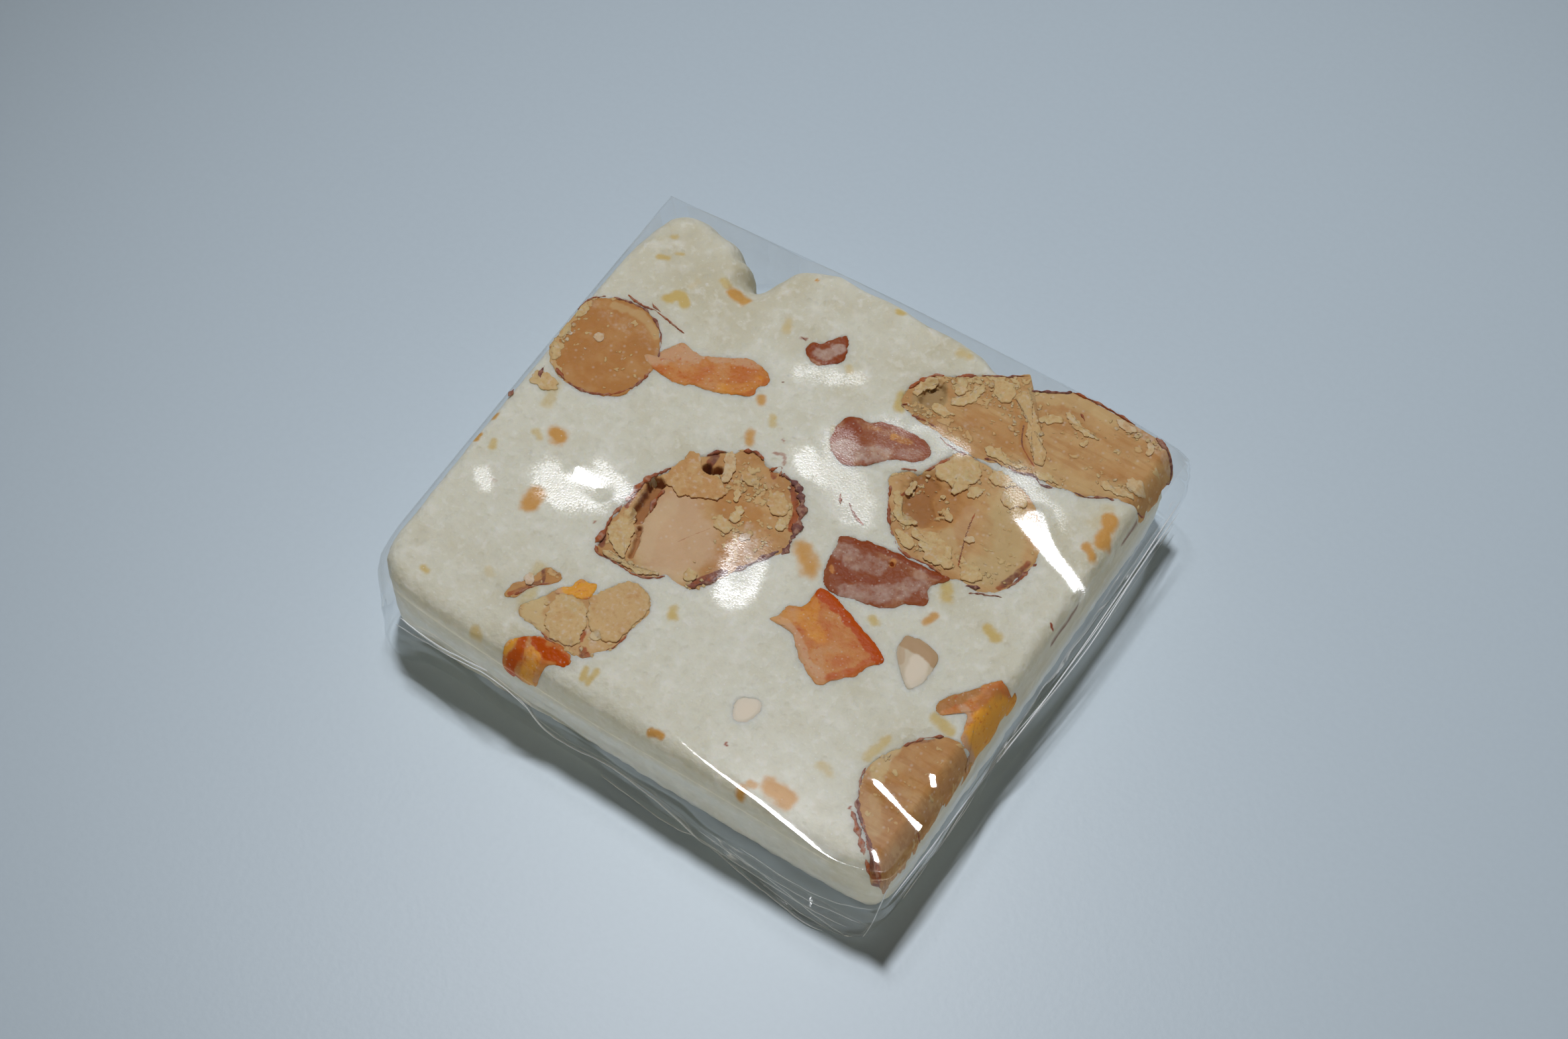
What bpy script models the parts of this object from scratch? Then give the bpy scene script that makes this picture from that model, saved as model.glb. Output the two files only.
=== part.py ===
"""A square of almond nougat in a sealed clear wrap, lying on its back.

The wrap's outer form is one solid with a shallow pocket for each almond,
piece of candied peel and nut that shows in its top face. Each of those is
an inlay, cut flush with the form and set in its pocket with a small gap.
The origin is at the middle of the underside. +X runs along the longer side
and +Y across to the far side.
"""

import math

import bmesh
import bpy
from mathutils import Vector

MM = 0.001

# The pack: the top is an uneven square, and the folds below make the base smaller in front.
HEIGHT = 10.4 * MM
CROWN = 0.12 * MM
SETTING_GAP = 0.3 * MM
TOP_CORNERS = ((-25.4, -21.6), (25.4, -22.8), (25.2, 22.9), (-25.1, 21.7))
BASE_CORNERS = ((-24.7, -22.9), (24.3, -22.8), (24.7, 22.9), (-24.6, 22.3))
CORNER_RADII = (2.2, 1.9, 0.7, 0.6)
# How much of the edge rounding each corner takes: the two far corners are sharp tips of film.
CORNER_SOFTNESS = (1.0, 1.0, 0.45, 0.35)
CORNER_STEPS = 5
SIDE_STEPS = 7

# Height above the base and inset of each level of the side, in mm.
SIDE_PROFILE = (
    (0.0, 1.3),
    (0.2, 0.6),
    (0.7, 0.1),
    (2.4, 0.0),
    (5.2, 0.0),
    (8.4, 0.0),
    (9.4, 0.25),
    (10.0, 0.8),
    (10.3, 1.5),
)
# Insets of the rings across the top face, which rises to a low crown.
TOP_INSETS = (3.5, 8.0, 13.0, 18.0)

# An inlay's cross-section: depth as a share of the whole depth, and the outline's share at it.
BOWL_LEVELS = ((0.0, 1.0), (0.3, 0.97), (0.58, 0.86), (0.8, 0.68), (0.94, 0.46), (1.0, 0.3))
CLEAR_ABOVE = 1.0 * MM
OUTLINE_SPANS = 2

ALMOND = ("almond", (0.66, 0.40, 0.19), 0.45)
NUT = ("nut", (0.80, 0.64, 0.47), 0.5)
PEEL = ("candied_peel", (0.70, 0.22, 0.04), 0.2)
DARK_PEEL = ("dark_peel", (0.36, 0.11, 0.05), 0.25)
NOUGAT = ("nougat", (0.80, 0.77, 0.66), 0.35)

# name: (finish, depth in mm, outline at the top face in mm, inlays that it lies against)
INLAYS = {
    "almond_round": (
        ALMOND,
        4.2,
        (
            (-16.5, 6.8),
            (-16.4, 4.5),
            (-17.6, 2.0),
            (-20.5, 0.9),
            (-23.3, 1.5),
            (-25.7, 3.6),
            (-26.4, 6.6),
            (-24.6, 9.2),
            (-21.0, 10.5),
            (-18.2, 9.4),
        ),
        (),
    ),
    "almond_middle": (
        ALMOND,
        5.0,
        (
            (-11.2, -9.9),
            (-11.3, -6.5),
            (-10.9, -3.0),
            (-9.6, -0.6),
            (-7.6, 2.0),
            (-4.6, 3.6),
            (-0.6, 3.1),
            (1.6, 0.8),
            (2.3, -2.4),
            (0.5, -5.8),
            (-1.2, -9.3),
            (-3.4, -10.2),
            (-7.2, -11.4),
            (-10.3, -11.1),
        ),
        (),
    ),
    "almond_back": (
        ALMOND,
        4.6,
        (
            (2.4, 15.9),
            (3.8, 18.4),
            (6.2, 19.9),
            (10.0, 22.5),
            (11.6, 21.6),
            (14.3, 23.1),
            (18.0, 23.9),
            (23.0, 23.9),
            (26.0, 22.5),
            (26.2, 18.0),
            (24.0, 16.5),
            (20.7, 15.2),
            (16.6, 14.1),
            (12.6, 13.4),
            (7.5, 13.3),
            (3.6, 14.0),
        ),
        (),
    ),
    "almond_right": (
        ALMOND,
        4.6,
        (
            (9.6, 13.0),
            (8.0, 10.6),
            (6.0, 8.2),
            (6.9, 5.2),
            (9.5, 2.7),
            (12.5, 2.4),
            (16.2, 2.5),
            (19.0, 3.3),
            (20.0, 6.8),
            (18.4, 11.0),
            (15.2, 13.2),
        ),
        ("almond_back",),
    ),
    "almond_corner": (
        ALMOND,
        5.2,
        (
            (22.2, -10.0),
            (19.9, -12.0),
            (18.0, -14.6),
            (18.9, -17.6),
            (21.4, -20.7),
            (24.2, -23.4),
            (26.4, -23.0),
            (26.5, -16.0),
            (26.2, -10.2),
            (24.4, -9.6),
        ),
        (),
    ),
    "almond_chips": (
        ALMOND,
        3.0,
        (
            (-7.2, -12.4),
            (-5.4, -11.9),
            (-3.8, -13.4),
            (-3.9, -17.2),
            (-5.4, -19.2),
            (-8.6, -19.5),
            (-12.6, -18.9),
            (-11.2, -16.4),
            (-8.8, -15.3),
        ),
        (),
    ),
    "almond_sliver": (
        ALMOND,
        2.0,
        (
            (-12.2, -14.4),
            (-11.4, -15.0),
            (-12.8, -17.3),
            (-13.9, -18.6),
            (-14.4, -17.6),
            (-13.3, -15.6),
        ),
        (),
    ),
    "peel_strip": (
        PEEL,
        2.0,
        (
            (-18.0, 6.7),
            (-15.8, 9.2),
            (-12.8, 9.3),
            (-9.6, 11.1),
            (-7.8, 10.0),
            (-8.3, 8.2),
            (-12.0, 6.6),
            (-14.4, 5.8),
            (-16.8, 6.0),
        ),
        ("almond_round",),
    ),
    "peel_chip": (
        DARK_PEEL,
        1.6,
        (
            (-4.6, 17.3),
            (-3.6, 15.3),
            (-5.0, 13.7),
            (-6.8, 14.3),
            (-6.1, 16.0),
        ),
        (),
    ),
    "peel_glazed": (
        DARK_PEEL,
        2.2,
        (
            (-0.3, 10.0),
            (0.9, 11.4),
            (3.4, 12.2),
            (6.6, 12.2),
            (7.3, 10.6),
            (4.8, 8.4),
            (1.6, 6.7),
            (0.1, 7.8),
        ),
        ("almond_right", "almond_back"),
    ),
    "peel_frosted": (
        DARK_PEEL,
        2.2,
        (
            (5.5, 0.6),
            (8.6, 2.0),
            (14.6, 2.2),
            (14.4, -0.8),
            (12.4, -2.9),
            (8.2, -3.8),
            (6.2, -2.0),
        ),
        ("almond_right",),
    ),
    "peel_orange": (
        PEEL,
        2.4,
        (
            (7.0, -4.2),
            (10.6, -5.2),
            (14.5, -7.0),
            (13.4, -9.7),
            (11.2, -11.7),
            (7.6, -9.8),
            (5.2, -8.2),
            (6.4, -6.0),
        ),
        ("peel_frosted",),
    ),
    "peel_amber": (
        PEEL,
        3.4,
        (
            (26.2, -2.8),
            (24.2, -2.7),
            (22.1, -4.2),
            (20.1, -7.4),
            (20.9, -8.4),
            (22.6, -7.4),
            (24.0, -9.0),
            (26.3, -10.0),
        ),
        ("almond_corner",),
    ),
    "peel_front": (
        PEEL,
        2.0,
        (
            (-9.6, -19.6),
            (-6.2, -19.8),
            (-6.9, -21.4),
            (-8.6, -22.6),
            (-9.6, -24.4),
            (-11.6, -24.4),
            (-11.4, -21.4),
        ),
        ("almond_chips",),
    ),
    "nut_beige": (
        NUT,
        2.2,
        (
            (14.9, -4.4),
            (16.6, -3.7),
            (18.2, -4.6),
            (18.0, -7.2),
            (17.0, -8.0),
            (15.7, -6.4),
        ),
        (),
    ),
    "nut_pale": (
        NUT,
        1.6,
        (
            (6.6, -15.8),
            (8.1, -15.3),
            (8.7, -16.6),
            (8.0, -17.9),
            (6.8, -17.4),
        ),
        (),
    ),
}


def finish(part, spec):
    """Give a part its own Principled material from a (name, colour, roughness) triple."""
    name, colour, roughness = spec
    material = bpy.data.materials.new(f"{part.name}_{name}")
    material.use_nodes = True
    shader = material.node_tree.nodes["Principled BSDF"]
    shader.inputs["Base Color"].default_value = (*colour, 1.0)
    shader.inputs["Roughness"].default_value = roughness
    shader.inputs["Metallic"].default_value = 0.0
    part.data.materials.append(material)


def add_part(name, shape, helper=False):
    """Turn a bmesh into a named object. A helper only cuts, so it isn't rendered."""
    bmesh.ops.recalc_face_normals(shape, faces=shape.faces)
    mesh = bpy.data.meshes.new(name)
    shape.to_mesh(mesh)
    shape.free()
    part = bpy.data.objects.new(name, mesh)
    bpy.context.scene.collection.objects.link(part)
    if helper:
        part.hide_render = True
        part.display_type = "WIRE"
    return part


def lofted(rings):
    """Bridge closed rings of points, lowest first, into one body with flat ends."""
    shape = bmesh.new()
    loops = []
    for ring in rings:
        verts = [shape.verts.new(point) for point in ring]
        loops.append([shape.edges.new(pair) for pair in zip(verts, verts[1:] + verts[:1])])
    for lower, upper in zip(loops, loops[1:]):
        bmesh.ops.bridge_loops(shape, edges=lower + upper)
    for loop in (loops[0], loops[-1]):
        bmesh.ops.contextual_create(shape, geom=loop)
    return shape


def corner_arc(corner, before, after, radius):
    """Points of the arc that rounds one corner, from the side before it to the side after."""
    to_before = (before - corner).normalized()
    to_after = (after - corner).normalized()
    half = to_before.angle(to_after) / 2
    centre = corner + (to_before + to_after).normalized() * (radius / math.sin(half))
    start = corner + to_before * (radius / math.tan(half)) - centre
    end = corner + to_after * (radius / math.tan(half)) - centre
    arc = []
    for step in range(CORNER_STEPS + 1):
        arc.append(centre + start.slerp(end, step / CORNER_STEPS).normalized() * radius)
    return arc


def pack_outline(inset, share):
    """The rounded outline at a share of the way from base to top, moved inwards by the inset."""
    corners = []
    for base, top, softness in zip(BASE_CORNERS, TOP_CORNERS, CORNER_SOFTNESS):
        point = Vector(base).lerp(Vector(top), share)
        eased = inset * (softness if inset < SIDE_PROFILE[-1][1] + 0.1 else 1.0)
        corners.append(Vector((point.x - math.copysign(eased, point.x),
                               point.y - math.copysign(eased, point.y))))
    arcs = []
    for index, corner in enumerate(corners):
        radius = max(CORNER_RADII[index] - 0.4 * inset, 0.4)
        arcs.append(corner_arc(corner, corners[index - 1], corners[(index + 1) % 4], radius))
    outline = []
    for index, arc in enumerate(arcs):
        following = arcs[(index + 1) % 4]
        outline += arc
        for step in range(1, SIDE_STEPS):
            outline.append(arc[-1].lerp(following[0], step / SIDE_STEPS))
    return outline


def pack_form():
    """The wrap's outer form: flat underside, soft edges and a slightly crowned top."""
    top = HEIGHT / MM
    rings = []
    for level, inset in SIDE_PROFILE:
        outline = pack_outline(inset, min(level / top, 1.0))
        rings.append([(point.x * MM, point.y * MM, level * MM) for point in outline])
    for index, inset in enumerate(TOP_INSETS):
        rise = HEIGHT - CROWN * (1 - (index + 1) / len(TOP_INSETS))
        outline = pack_outline(inset, 1.0)
        rings.append([(point.x * MM, point.y * MM, rise) for point in outline])
    return lofted(rings)


def smooth_outline(points):
    """A closed Catmull-Rom curve through the points, OUTLINE_SPANS steps to each span."""
    points = [Vector(point) for point in points]
    count = len(points)
    curve = []
    for index in range(count):
        first, second, third, fourth = (points[(index + offset) % count] for offset in (-1, 0, 1, 2))
        for step in range(OUTLINE_SPANS):
            t = step / OUTLINE_SPANS
            curve.append(
                0.5
                * (
                    2 * second
                    + (third - first) * t
                    + (2 * first - 5 * second + 4 * third - fourth) * t**2
                    + (3 * second - first - 3 * third + fourth) * t**3
                )
            )
    return curve


def widened(outline, margin):
    """The outline moved outwards by the margin, in mm, square to its own direction."""
    area = sum(a.x * b.y - a.y * b.x for a, b in zip(outline, outline[1:] + outline[:1]))
    side = math.copysign(margin, area)
    moved = []
    for index, point in enumerate(outline):
        along = (outline[(index + 1) % len(outline)] - outline[index - 1]).normalized()
        moved.append(point + Vector((along.y, -along.x)) * side)
    return moved


def bowl(outline, depth, margin):
    """A rounded body hanging from an outline at the top face, grown all round by the margin."""
    centre = sum(outline, Vector((0, 0))) / len(outline)
    rings = []
    for share, width in reversed(BOWL_LEVELS):
        ring = widened([centre + (point - centre) * width for point in outline], margin / MM)
        level = HEIGHT - share * depth * MM - (margin if share else 0.0)
        rings.append([(point.x * MM, point.y * MM, level) for point in ring])
    rings.append([(x, y, HEIGHT + CLEAR_ABOVE) for x, y, _ in rings[-1]])
    return lofted(rings)


def cut(part, operation, tool):
    modifier = part.modifiers.new(f"{operation.lower()}_{tool.name}", "BOOLEAN")
    modifier.operation = operation
    modifier.solver = "EXACT"
    modifier.object = tool


def main():
    for old in list(bpy.data.objects):
        bpy.data.objects.remove(old, do_unlink=True)

    pack = add_part("wrapped_nougat", pack_form())
    finish(pack, NOUGAT)
    form = add_part("guide_form", pack_form(), helper=True)
    pockets = {}
    for name, (finish_spec, depth, points, neighbours) in INLAYS.items():
        outline = smooth_outline(points)
        pockets[name] = add_part(f"pocket_{name}", bowl(outline, depth, SETTING_GAP), helper=True)
        inlay = add_part(name, bowl(outline, depth, 0.0))
        finish(inlay, finish_spec)
        cut(inlay, "INTERSECT", form)
        for neighbour in neighbours:
            cut(inlay, "DIFFERENCE", pockets[neighbour])
        cut(pack, "DIFFERENCE", pockets[name])


main()
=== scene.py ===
"""A square of almond nougat sealed in clear film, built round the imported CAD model.

The slab, every almond, nut and piece of candied peel in its face, their loose
skins and flakes, and the film over them are modelled here. Work is in mm
until a piece is finished; the finished pieces are in metres.
"""

import math
import random

import bmesh
import bpy
import numpy as np
from bpy.props import FloatProperty, FloatVectorProperty, IntProperty, PointerProperty
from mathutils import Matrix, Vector, noise


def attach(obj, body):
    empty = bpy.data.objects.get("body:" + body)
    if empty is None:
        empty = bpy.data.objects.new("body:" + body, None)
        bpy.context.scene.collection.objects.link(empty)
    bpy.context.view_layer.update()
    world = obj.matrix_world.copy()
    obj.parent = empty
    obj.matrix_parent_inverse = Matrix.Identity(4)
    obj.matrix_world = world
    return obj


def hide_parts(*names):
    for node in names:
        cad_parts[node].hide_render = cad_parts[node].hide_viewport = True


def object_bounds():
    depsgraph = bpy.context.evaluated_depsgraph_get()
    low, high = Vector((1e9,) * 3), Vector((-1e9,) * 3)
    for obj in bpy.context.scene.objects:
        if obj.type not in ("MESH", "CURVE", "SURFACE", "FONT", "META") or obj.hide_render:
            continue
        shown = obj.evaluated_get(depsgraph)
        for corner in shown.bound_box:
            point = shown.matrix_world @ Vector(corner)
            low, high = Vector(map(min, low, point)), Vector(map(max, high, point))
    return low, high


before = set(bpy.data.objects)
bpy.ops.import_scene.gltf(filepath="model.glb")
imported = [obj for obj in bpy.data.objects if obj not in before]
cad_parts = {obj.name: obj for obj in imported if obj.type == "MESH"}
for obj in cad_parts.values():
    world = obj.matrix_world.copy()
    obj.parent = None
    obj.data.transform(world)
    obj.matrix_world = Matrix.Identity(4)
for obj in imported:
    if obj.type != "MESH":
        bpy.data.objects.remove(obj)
CAD_LOW, CAD_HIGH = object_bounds()

bl_info = {
    "name": "Wrapped Nougat",
    "version": (1, 0, 0),
    "blender": (4, 5, 0),
    "location": "3D View > Sidebar > Nougat",
    "description": "A square of almond nougat with candied peel in clear film",
    "category": "Object",
}

MM = 0.001
FILM_TOP = CAD_HIGH.z / MM

# Where the camera and the key light stand, in mm.
CAMERA_PLACE = np.array([81.75, -124.48, 259.71])
CAMERA_AIM = np.array([-2.64, 4.73, 0.0])
KEY_PLACE = np.array([-129.6, 163.2, 562.8])
# The side that the soft light of the room comes from, and that of the low light on the walls.
AIR_HEADING = (0.45, -0.8, 0.25)
LOW_HEADING = (0.6, -0.8, 0.0)
# Share of the key light that reaches the nougat through the film.
THROUGH_FILM = 0.69

# ---------------------------------------------------------------- plan shapes, in mm

# The film's sides at its top edge: front, right, back (run leftwards), left.
FILM_LINES = (
    ((-25.0, -21.0), (-24.3, -22.1), (-22.0, -23.0), (-16.0, -23.5), (-8.0, -23.8), (0.0, -23.95),
     (10.0, -24.05), (18.0, -24.15), (22.8, -24.0), (24.8, -23.0)),
    ((24.8, -23.0), (25.35, -21.2), (25.5, -12.0), (25.5, 0.0), (25.5, 12.0), (25.45, 20.0), (25.4, 22.7)),
    ((25.4, 22.7), (23.4, 23.2), (18.0, 23.5), (12.0, 23.4), (5.0, 23.2), (-5.0, 22.8), (-15.0, 22.2),
     (-25.15, 21.5)),
    ((-25.15, 21.5), (-25.3, 14.0), (-25.35, 0.0), (-25.35, -14.0), (-25.3, -19.6), (-25.0, -21.0)),
)
# Where the film's corners stand at the top edge, and how far each moves by the base.
CORNER_SHIFTS = (
    ((-25.0, -21.0), (0.6, -1.1)), ((-16.0, -23.5), (0.0, 0.3)), ((-5.0, -23.9), (0.0, 0.3)),
    ((4.0, -24.0), (0.0, 0.0)), ((12.0, -24.05), (0.0, -0.7)), ((19.0, -24.15), (0.0, -1.3)),
    ((23.2, -24.0), (-0.5, -1.2)), ((24.8, -23.0), (-1.2, -0.9)), ((25.4, -20.0), (-1.2, 0.0)),
    ((25.5, -12.0), (-1.2, 0.0)), ((25.5, -4.0), (-1.4, 0.0)), ((25.5, 6.0), (-0.9, 0.0)),
    ((25.5, 15.0), (-0.7, 0.0)), ((25.4, 22.7), (-0.5, -0.2)), ((15.0, 23.4), (0.0, -0.3)),
    ((0.0, 23.0), (0.0, -0.3)), ((-15.0, 22.2), (0.0, -0.2)), ((-25.2, 21.6), (0.6, 0.7)),
    ((-25.4, 8.0), (0.5, 0.0)), ((-25.4, -8.0), (0.5, 0.0)),
)
# The soft crease behind the front edge, beyond which the film bends down.
FRONT_CREASE = ((-25.0, -20.4), (-16.0, -20.2), (-8.0, -19.8), (-1.0, -19.7), (2.0, -20.7), (5.0, -21.8),
                (9.0, -22.4), (13.0, -22.75), (17.5, -23.4), (19.6, -23.85), (21.2, -23.75), (23.4, -23.1),
                (26.0, -22.0))

# The slab's sides, each from corner to corner: front, right, back (run leftwards), left.
SLAB_SIDES = (
    ((-24.2, -20.2), (-22.4, -21.4), (-18.0, -21.9), (-12.0, -22.0), (-6.0, -22.0), (2.0, -22.2),
     (10.0, -22.3), (18.0, -22.3), (22.0, -22.1), (23.3, -21.3)),
    ((23.3, -21.3), (23.6, -19.4), (23.7, -12.0), (23.7, -4.0), (23.7, 4.0), (23.7, 12.0),
     (23.7, 18.0), (23.4, 21.6)),
    ((23.4, 21.6), (22.4, 22.2), (18.0, 22.4), (13.5, 22.0), (10.8, 21.6), (8.5, 21.3), (7.2, 21.4),
     (5.6, 22.0), (3.0, 22.3), (0.0, 22.2), (-3.0, 22.5), (-6.0, 22.3), (-8.4, 22.4), (-10.4, 21.7), (-11.6, 20.9),
     (-12.2, 19.6), (-13.2, 18.3), (-14.2, 17.6), (-15.3, 18.0), (-16.0, 19.0), (-17.0, 19.3), (-18.0, 20.2),
     (-19.8, 20.5), (-21.0, 20.8), (-22.6, 20.7), (-23.6, 19.9), (-24.1, 18.6), (-24.4, 17.2)),
    ((-24.4, 17.2), (-24.8, 14.0), (-24.9, 8.0), (-24.9, 0.0), (-24.9, -8.0), (-24.8, -16.0),
     (-24.7, -18.6), (-24.2, -20.2)),
)

# ---------------------------------------------------------------- marks on the nougat, in mm
# (layer, points of the mark's middle line, half width, strength)
NOUGAT_MARKS = (
    ("tan", ((-15.1, 16.1), (-14.0, 15.9)), 0.62, 1.0),
    ("olive", ((-16.4, 16.5), (-16.0, 16.3)), 0.45, 0.6),
    ("tan", ((-19.5, -3.7), (-19.1, -3.9)), 0.72, 1.0),
    ("olive", ((-21.1, -4.5), (-20.4, -4.8)), 0.4, 0.6),
    ("tan", ((-17.6, -9.5), (-17.4, -10.3)), 0.85, 0.95),
    ("tan", ((13.1, -21.1), (14.6, -21.3)), 0.85, 1.1),
    ("tan", ((11.2, -22.6), (11.2, -23.3)), 0.5, 1.0),
    ("tan", ((11.5, -21.8), (11.9, -21.7)), 0.35, 0.7),
    ("olive", ((-19.3, 12.4), (-18.6, 13.3), (-17.9, 12.7)), 0.5, 0.95),
    ("olive", ((-18.2, 15.2), (-18.4, 14.4)), 0.35, 0.35),
    ("tan", ((22.9, 14.3), (23.3, 12.0)), 0.62, 0.95),
    ("olive", ((22.3, 15.0), (21.9, 13.0)), 0.6, 0.35),
    ("tan", ((22.5, 10.9), (23.4, 10.3)), 0.45, 0.8),
    ("olive", ((19.8, 0.1), (20.7, -0.3)), 0.5, 0.8),
    ("tan", ((15.6, -1.2), (15.3, -2.1)), 0.4, 0.75),
    ("olive", ((-2.2, -12.2), (-1.9, -12.8)), 0.45, 0.75),
    ("olive", ((15.2, -17.4), (16.2, -17.6)), 0.5, 0.5),
    ("tan", ((2.3, -22.1), (3.3, -22.0)), 0.28, 0.85),
    ("tan", ((-8.1, -24.0), (-7.3, -24.3), (-6.6, -24.3)), 0.32, 0.8),
    ("tan", ((-6.1, 5.1), (-5.8, 4.3)), 0.48, 0.75),
    ("olive", ((-9.6, 15.9), (-9.1, 15.2)), 0.5, 0.5),
    ("tan", ((-7.3, 8.4), (-7.0, 8.0)), 0.4, 0.75),
    ("olive", ((-5.3, 7.4), (-5.1, 6.8)), 0.4, 0.6),
    ("olive", ((-2.9, 14.9), (-2.6, 14.6)), 0.35, 0.5),
    ("olive", ((-22.4, 15.6), (-21.6, 15.9)), 0.32, 0.75),
    ("olive", ((-21.3, 16.7), (-20.8, 16.9)), 0.22, 0.65),
    ("olive", ((-22.6, 17.9), (-22.3, 18.0)), 0.3, 0.6),
    ("olive", ((-2.4, 22.0), (-2.0, 22.1)), 0.35, 0.8),
    ("olive", ((4.1, 21.2), (4.9, 21.4)), 0.55, 0.55),
    ("olive", ((-21.2, -20.0), (-20.8, -20.1)), 0.35, 0.7),
    ("olive", ((-14.6, -22.2), (-14.3, -22.4)), 0.45, 0.6),
    ("olive", ((-5.0, -20.3), (-4.8, -21.2)), 0.3, 0.7),
    ("olive", ((-4.1, -20.2), (-4.2, -21.2)), 0.3, 0.7),
    ("olive", ((-23.4, -7.1), (-23.2, -7.6)), 0.35, 0.65),
    ("tan", ((-24.8, -7.2), (-24.8, -7.6)), 0.3, 1.0),
    ("tan", ((-24.8, -4.8), (-24.8, -5.2)), 0.25, 0.8),
    ("olive", ((11.6, -4.2), (12.0, -4.4)), 0.4, 0.7),
    ("olive", ((-16.7, -17.3), (-16.3, -17.5)), 0.4, 0.4),
    ("tan", ((3.4, -1.8), (4.4, -2.6), (5.0, -3.2)), 0.9, 0.75),
    ("olive", ((14.9, 1.7), (15.6, 0.6)), 0.6, 0.7),
    ("olive", ((2.3, 15.0), (2.8, 13.9)), 0.5, 0.75),
    ("olive", ((20.6, -9.0), (22.0, -9.3)), 0.55, 0.7),
    ("olive", ((18.4, -12.6), (17.9, -14.9)), 0.45, 0.6),
    ("olive", ((-13.3, -15.0), (-12.3, -18.6)), 0.7, 0.5),
    ("olive", ((-22.3, 0.2), (-21.8, -1.6)), 0.6, 0.5),
    ("olive", ((-0.6, 9.2), (0.2, 7.4)), 0.4, 0.4),
    ("tan", ((-9.9, 20.9), (-9.8, 20.85)), 0.16, 1.2),
    ("red", ((8.0, -19.8), (8.1, -20.0)), 0.13, 1.0),
    ("red", ((19.1, -19.2), (19.2, -19.4)), 0.12, 0.9),
    ("red", ((23.7, 3.4), (24.0, 3.2)), 0.13, 1.1),
    ("red", ((-12.1, -8.9), (-12.0, -9.1)), 0.12, 0.7),
    ("red", ((-7.8, 15.2), (-7.3, 15.4)), 0.14, 0.7),
    ("red", ((-21.6, -10.2), (-21.0, -10.2)), 0.22, 0.3),
    ("red", ((-3.4, 4.5), (-2.6, 4.7), (-2.2, 4.0)), 0.2, 0.6),
    ("red", ((-3.6, 6.0), (-3.3, 5.8)), 0.12, 0.6),
    ("dark", ((-6.6, 10.7), (-6.55, 10.68)), 0.07, 0.9),
    ("dark", ((24.2, 16.6), (24.3, 14.0), (24.4, 12.8)), 0.12, 0.8),
    ("dark", ((24.4, 8.6), (24.2, 6.0), (24.2, 3.0)), 0.14, 0.8),
)

# The stains spread a little beyond the crumbs that made them.
STAINS = [(layer, line, width * 1.3, min(strength * 1.15, 1.1)) for layer, line, width, strength in NOUGAT_MARKS]

# How far the nougat turns from white to cream: (x, y, radius, strength).
CREAM_ZONES = (
    (-17.0, 16.0, 8.0, 0.6), (0.0, 18.0, 7.0, 0.4), (-12.0, 19.0, 5.0, 0.4), (20.5, 0.0, 4.0, 0.35),
    (22.0, 12.0, 4.0, 0.6), (-12.0, -17.0, 4.0, 0.5), (16.0, -13.0, 5.0, 0.15), (-10.0, 0.5, 3.0, 0.5),
    (19.4, -13.0, 3.0, 0.6), (-20.0, -20.0, 5.0, 0.25), (-22.0, 14.0, 5.0, 0.4), (4.0, 21.5, 3.5, 0.5),
    (14.8, 1.0, 2.0, 0.4),
)

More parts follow.
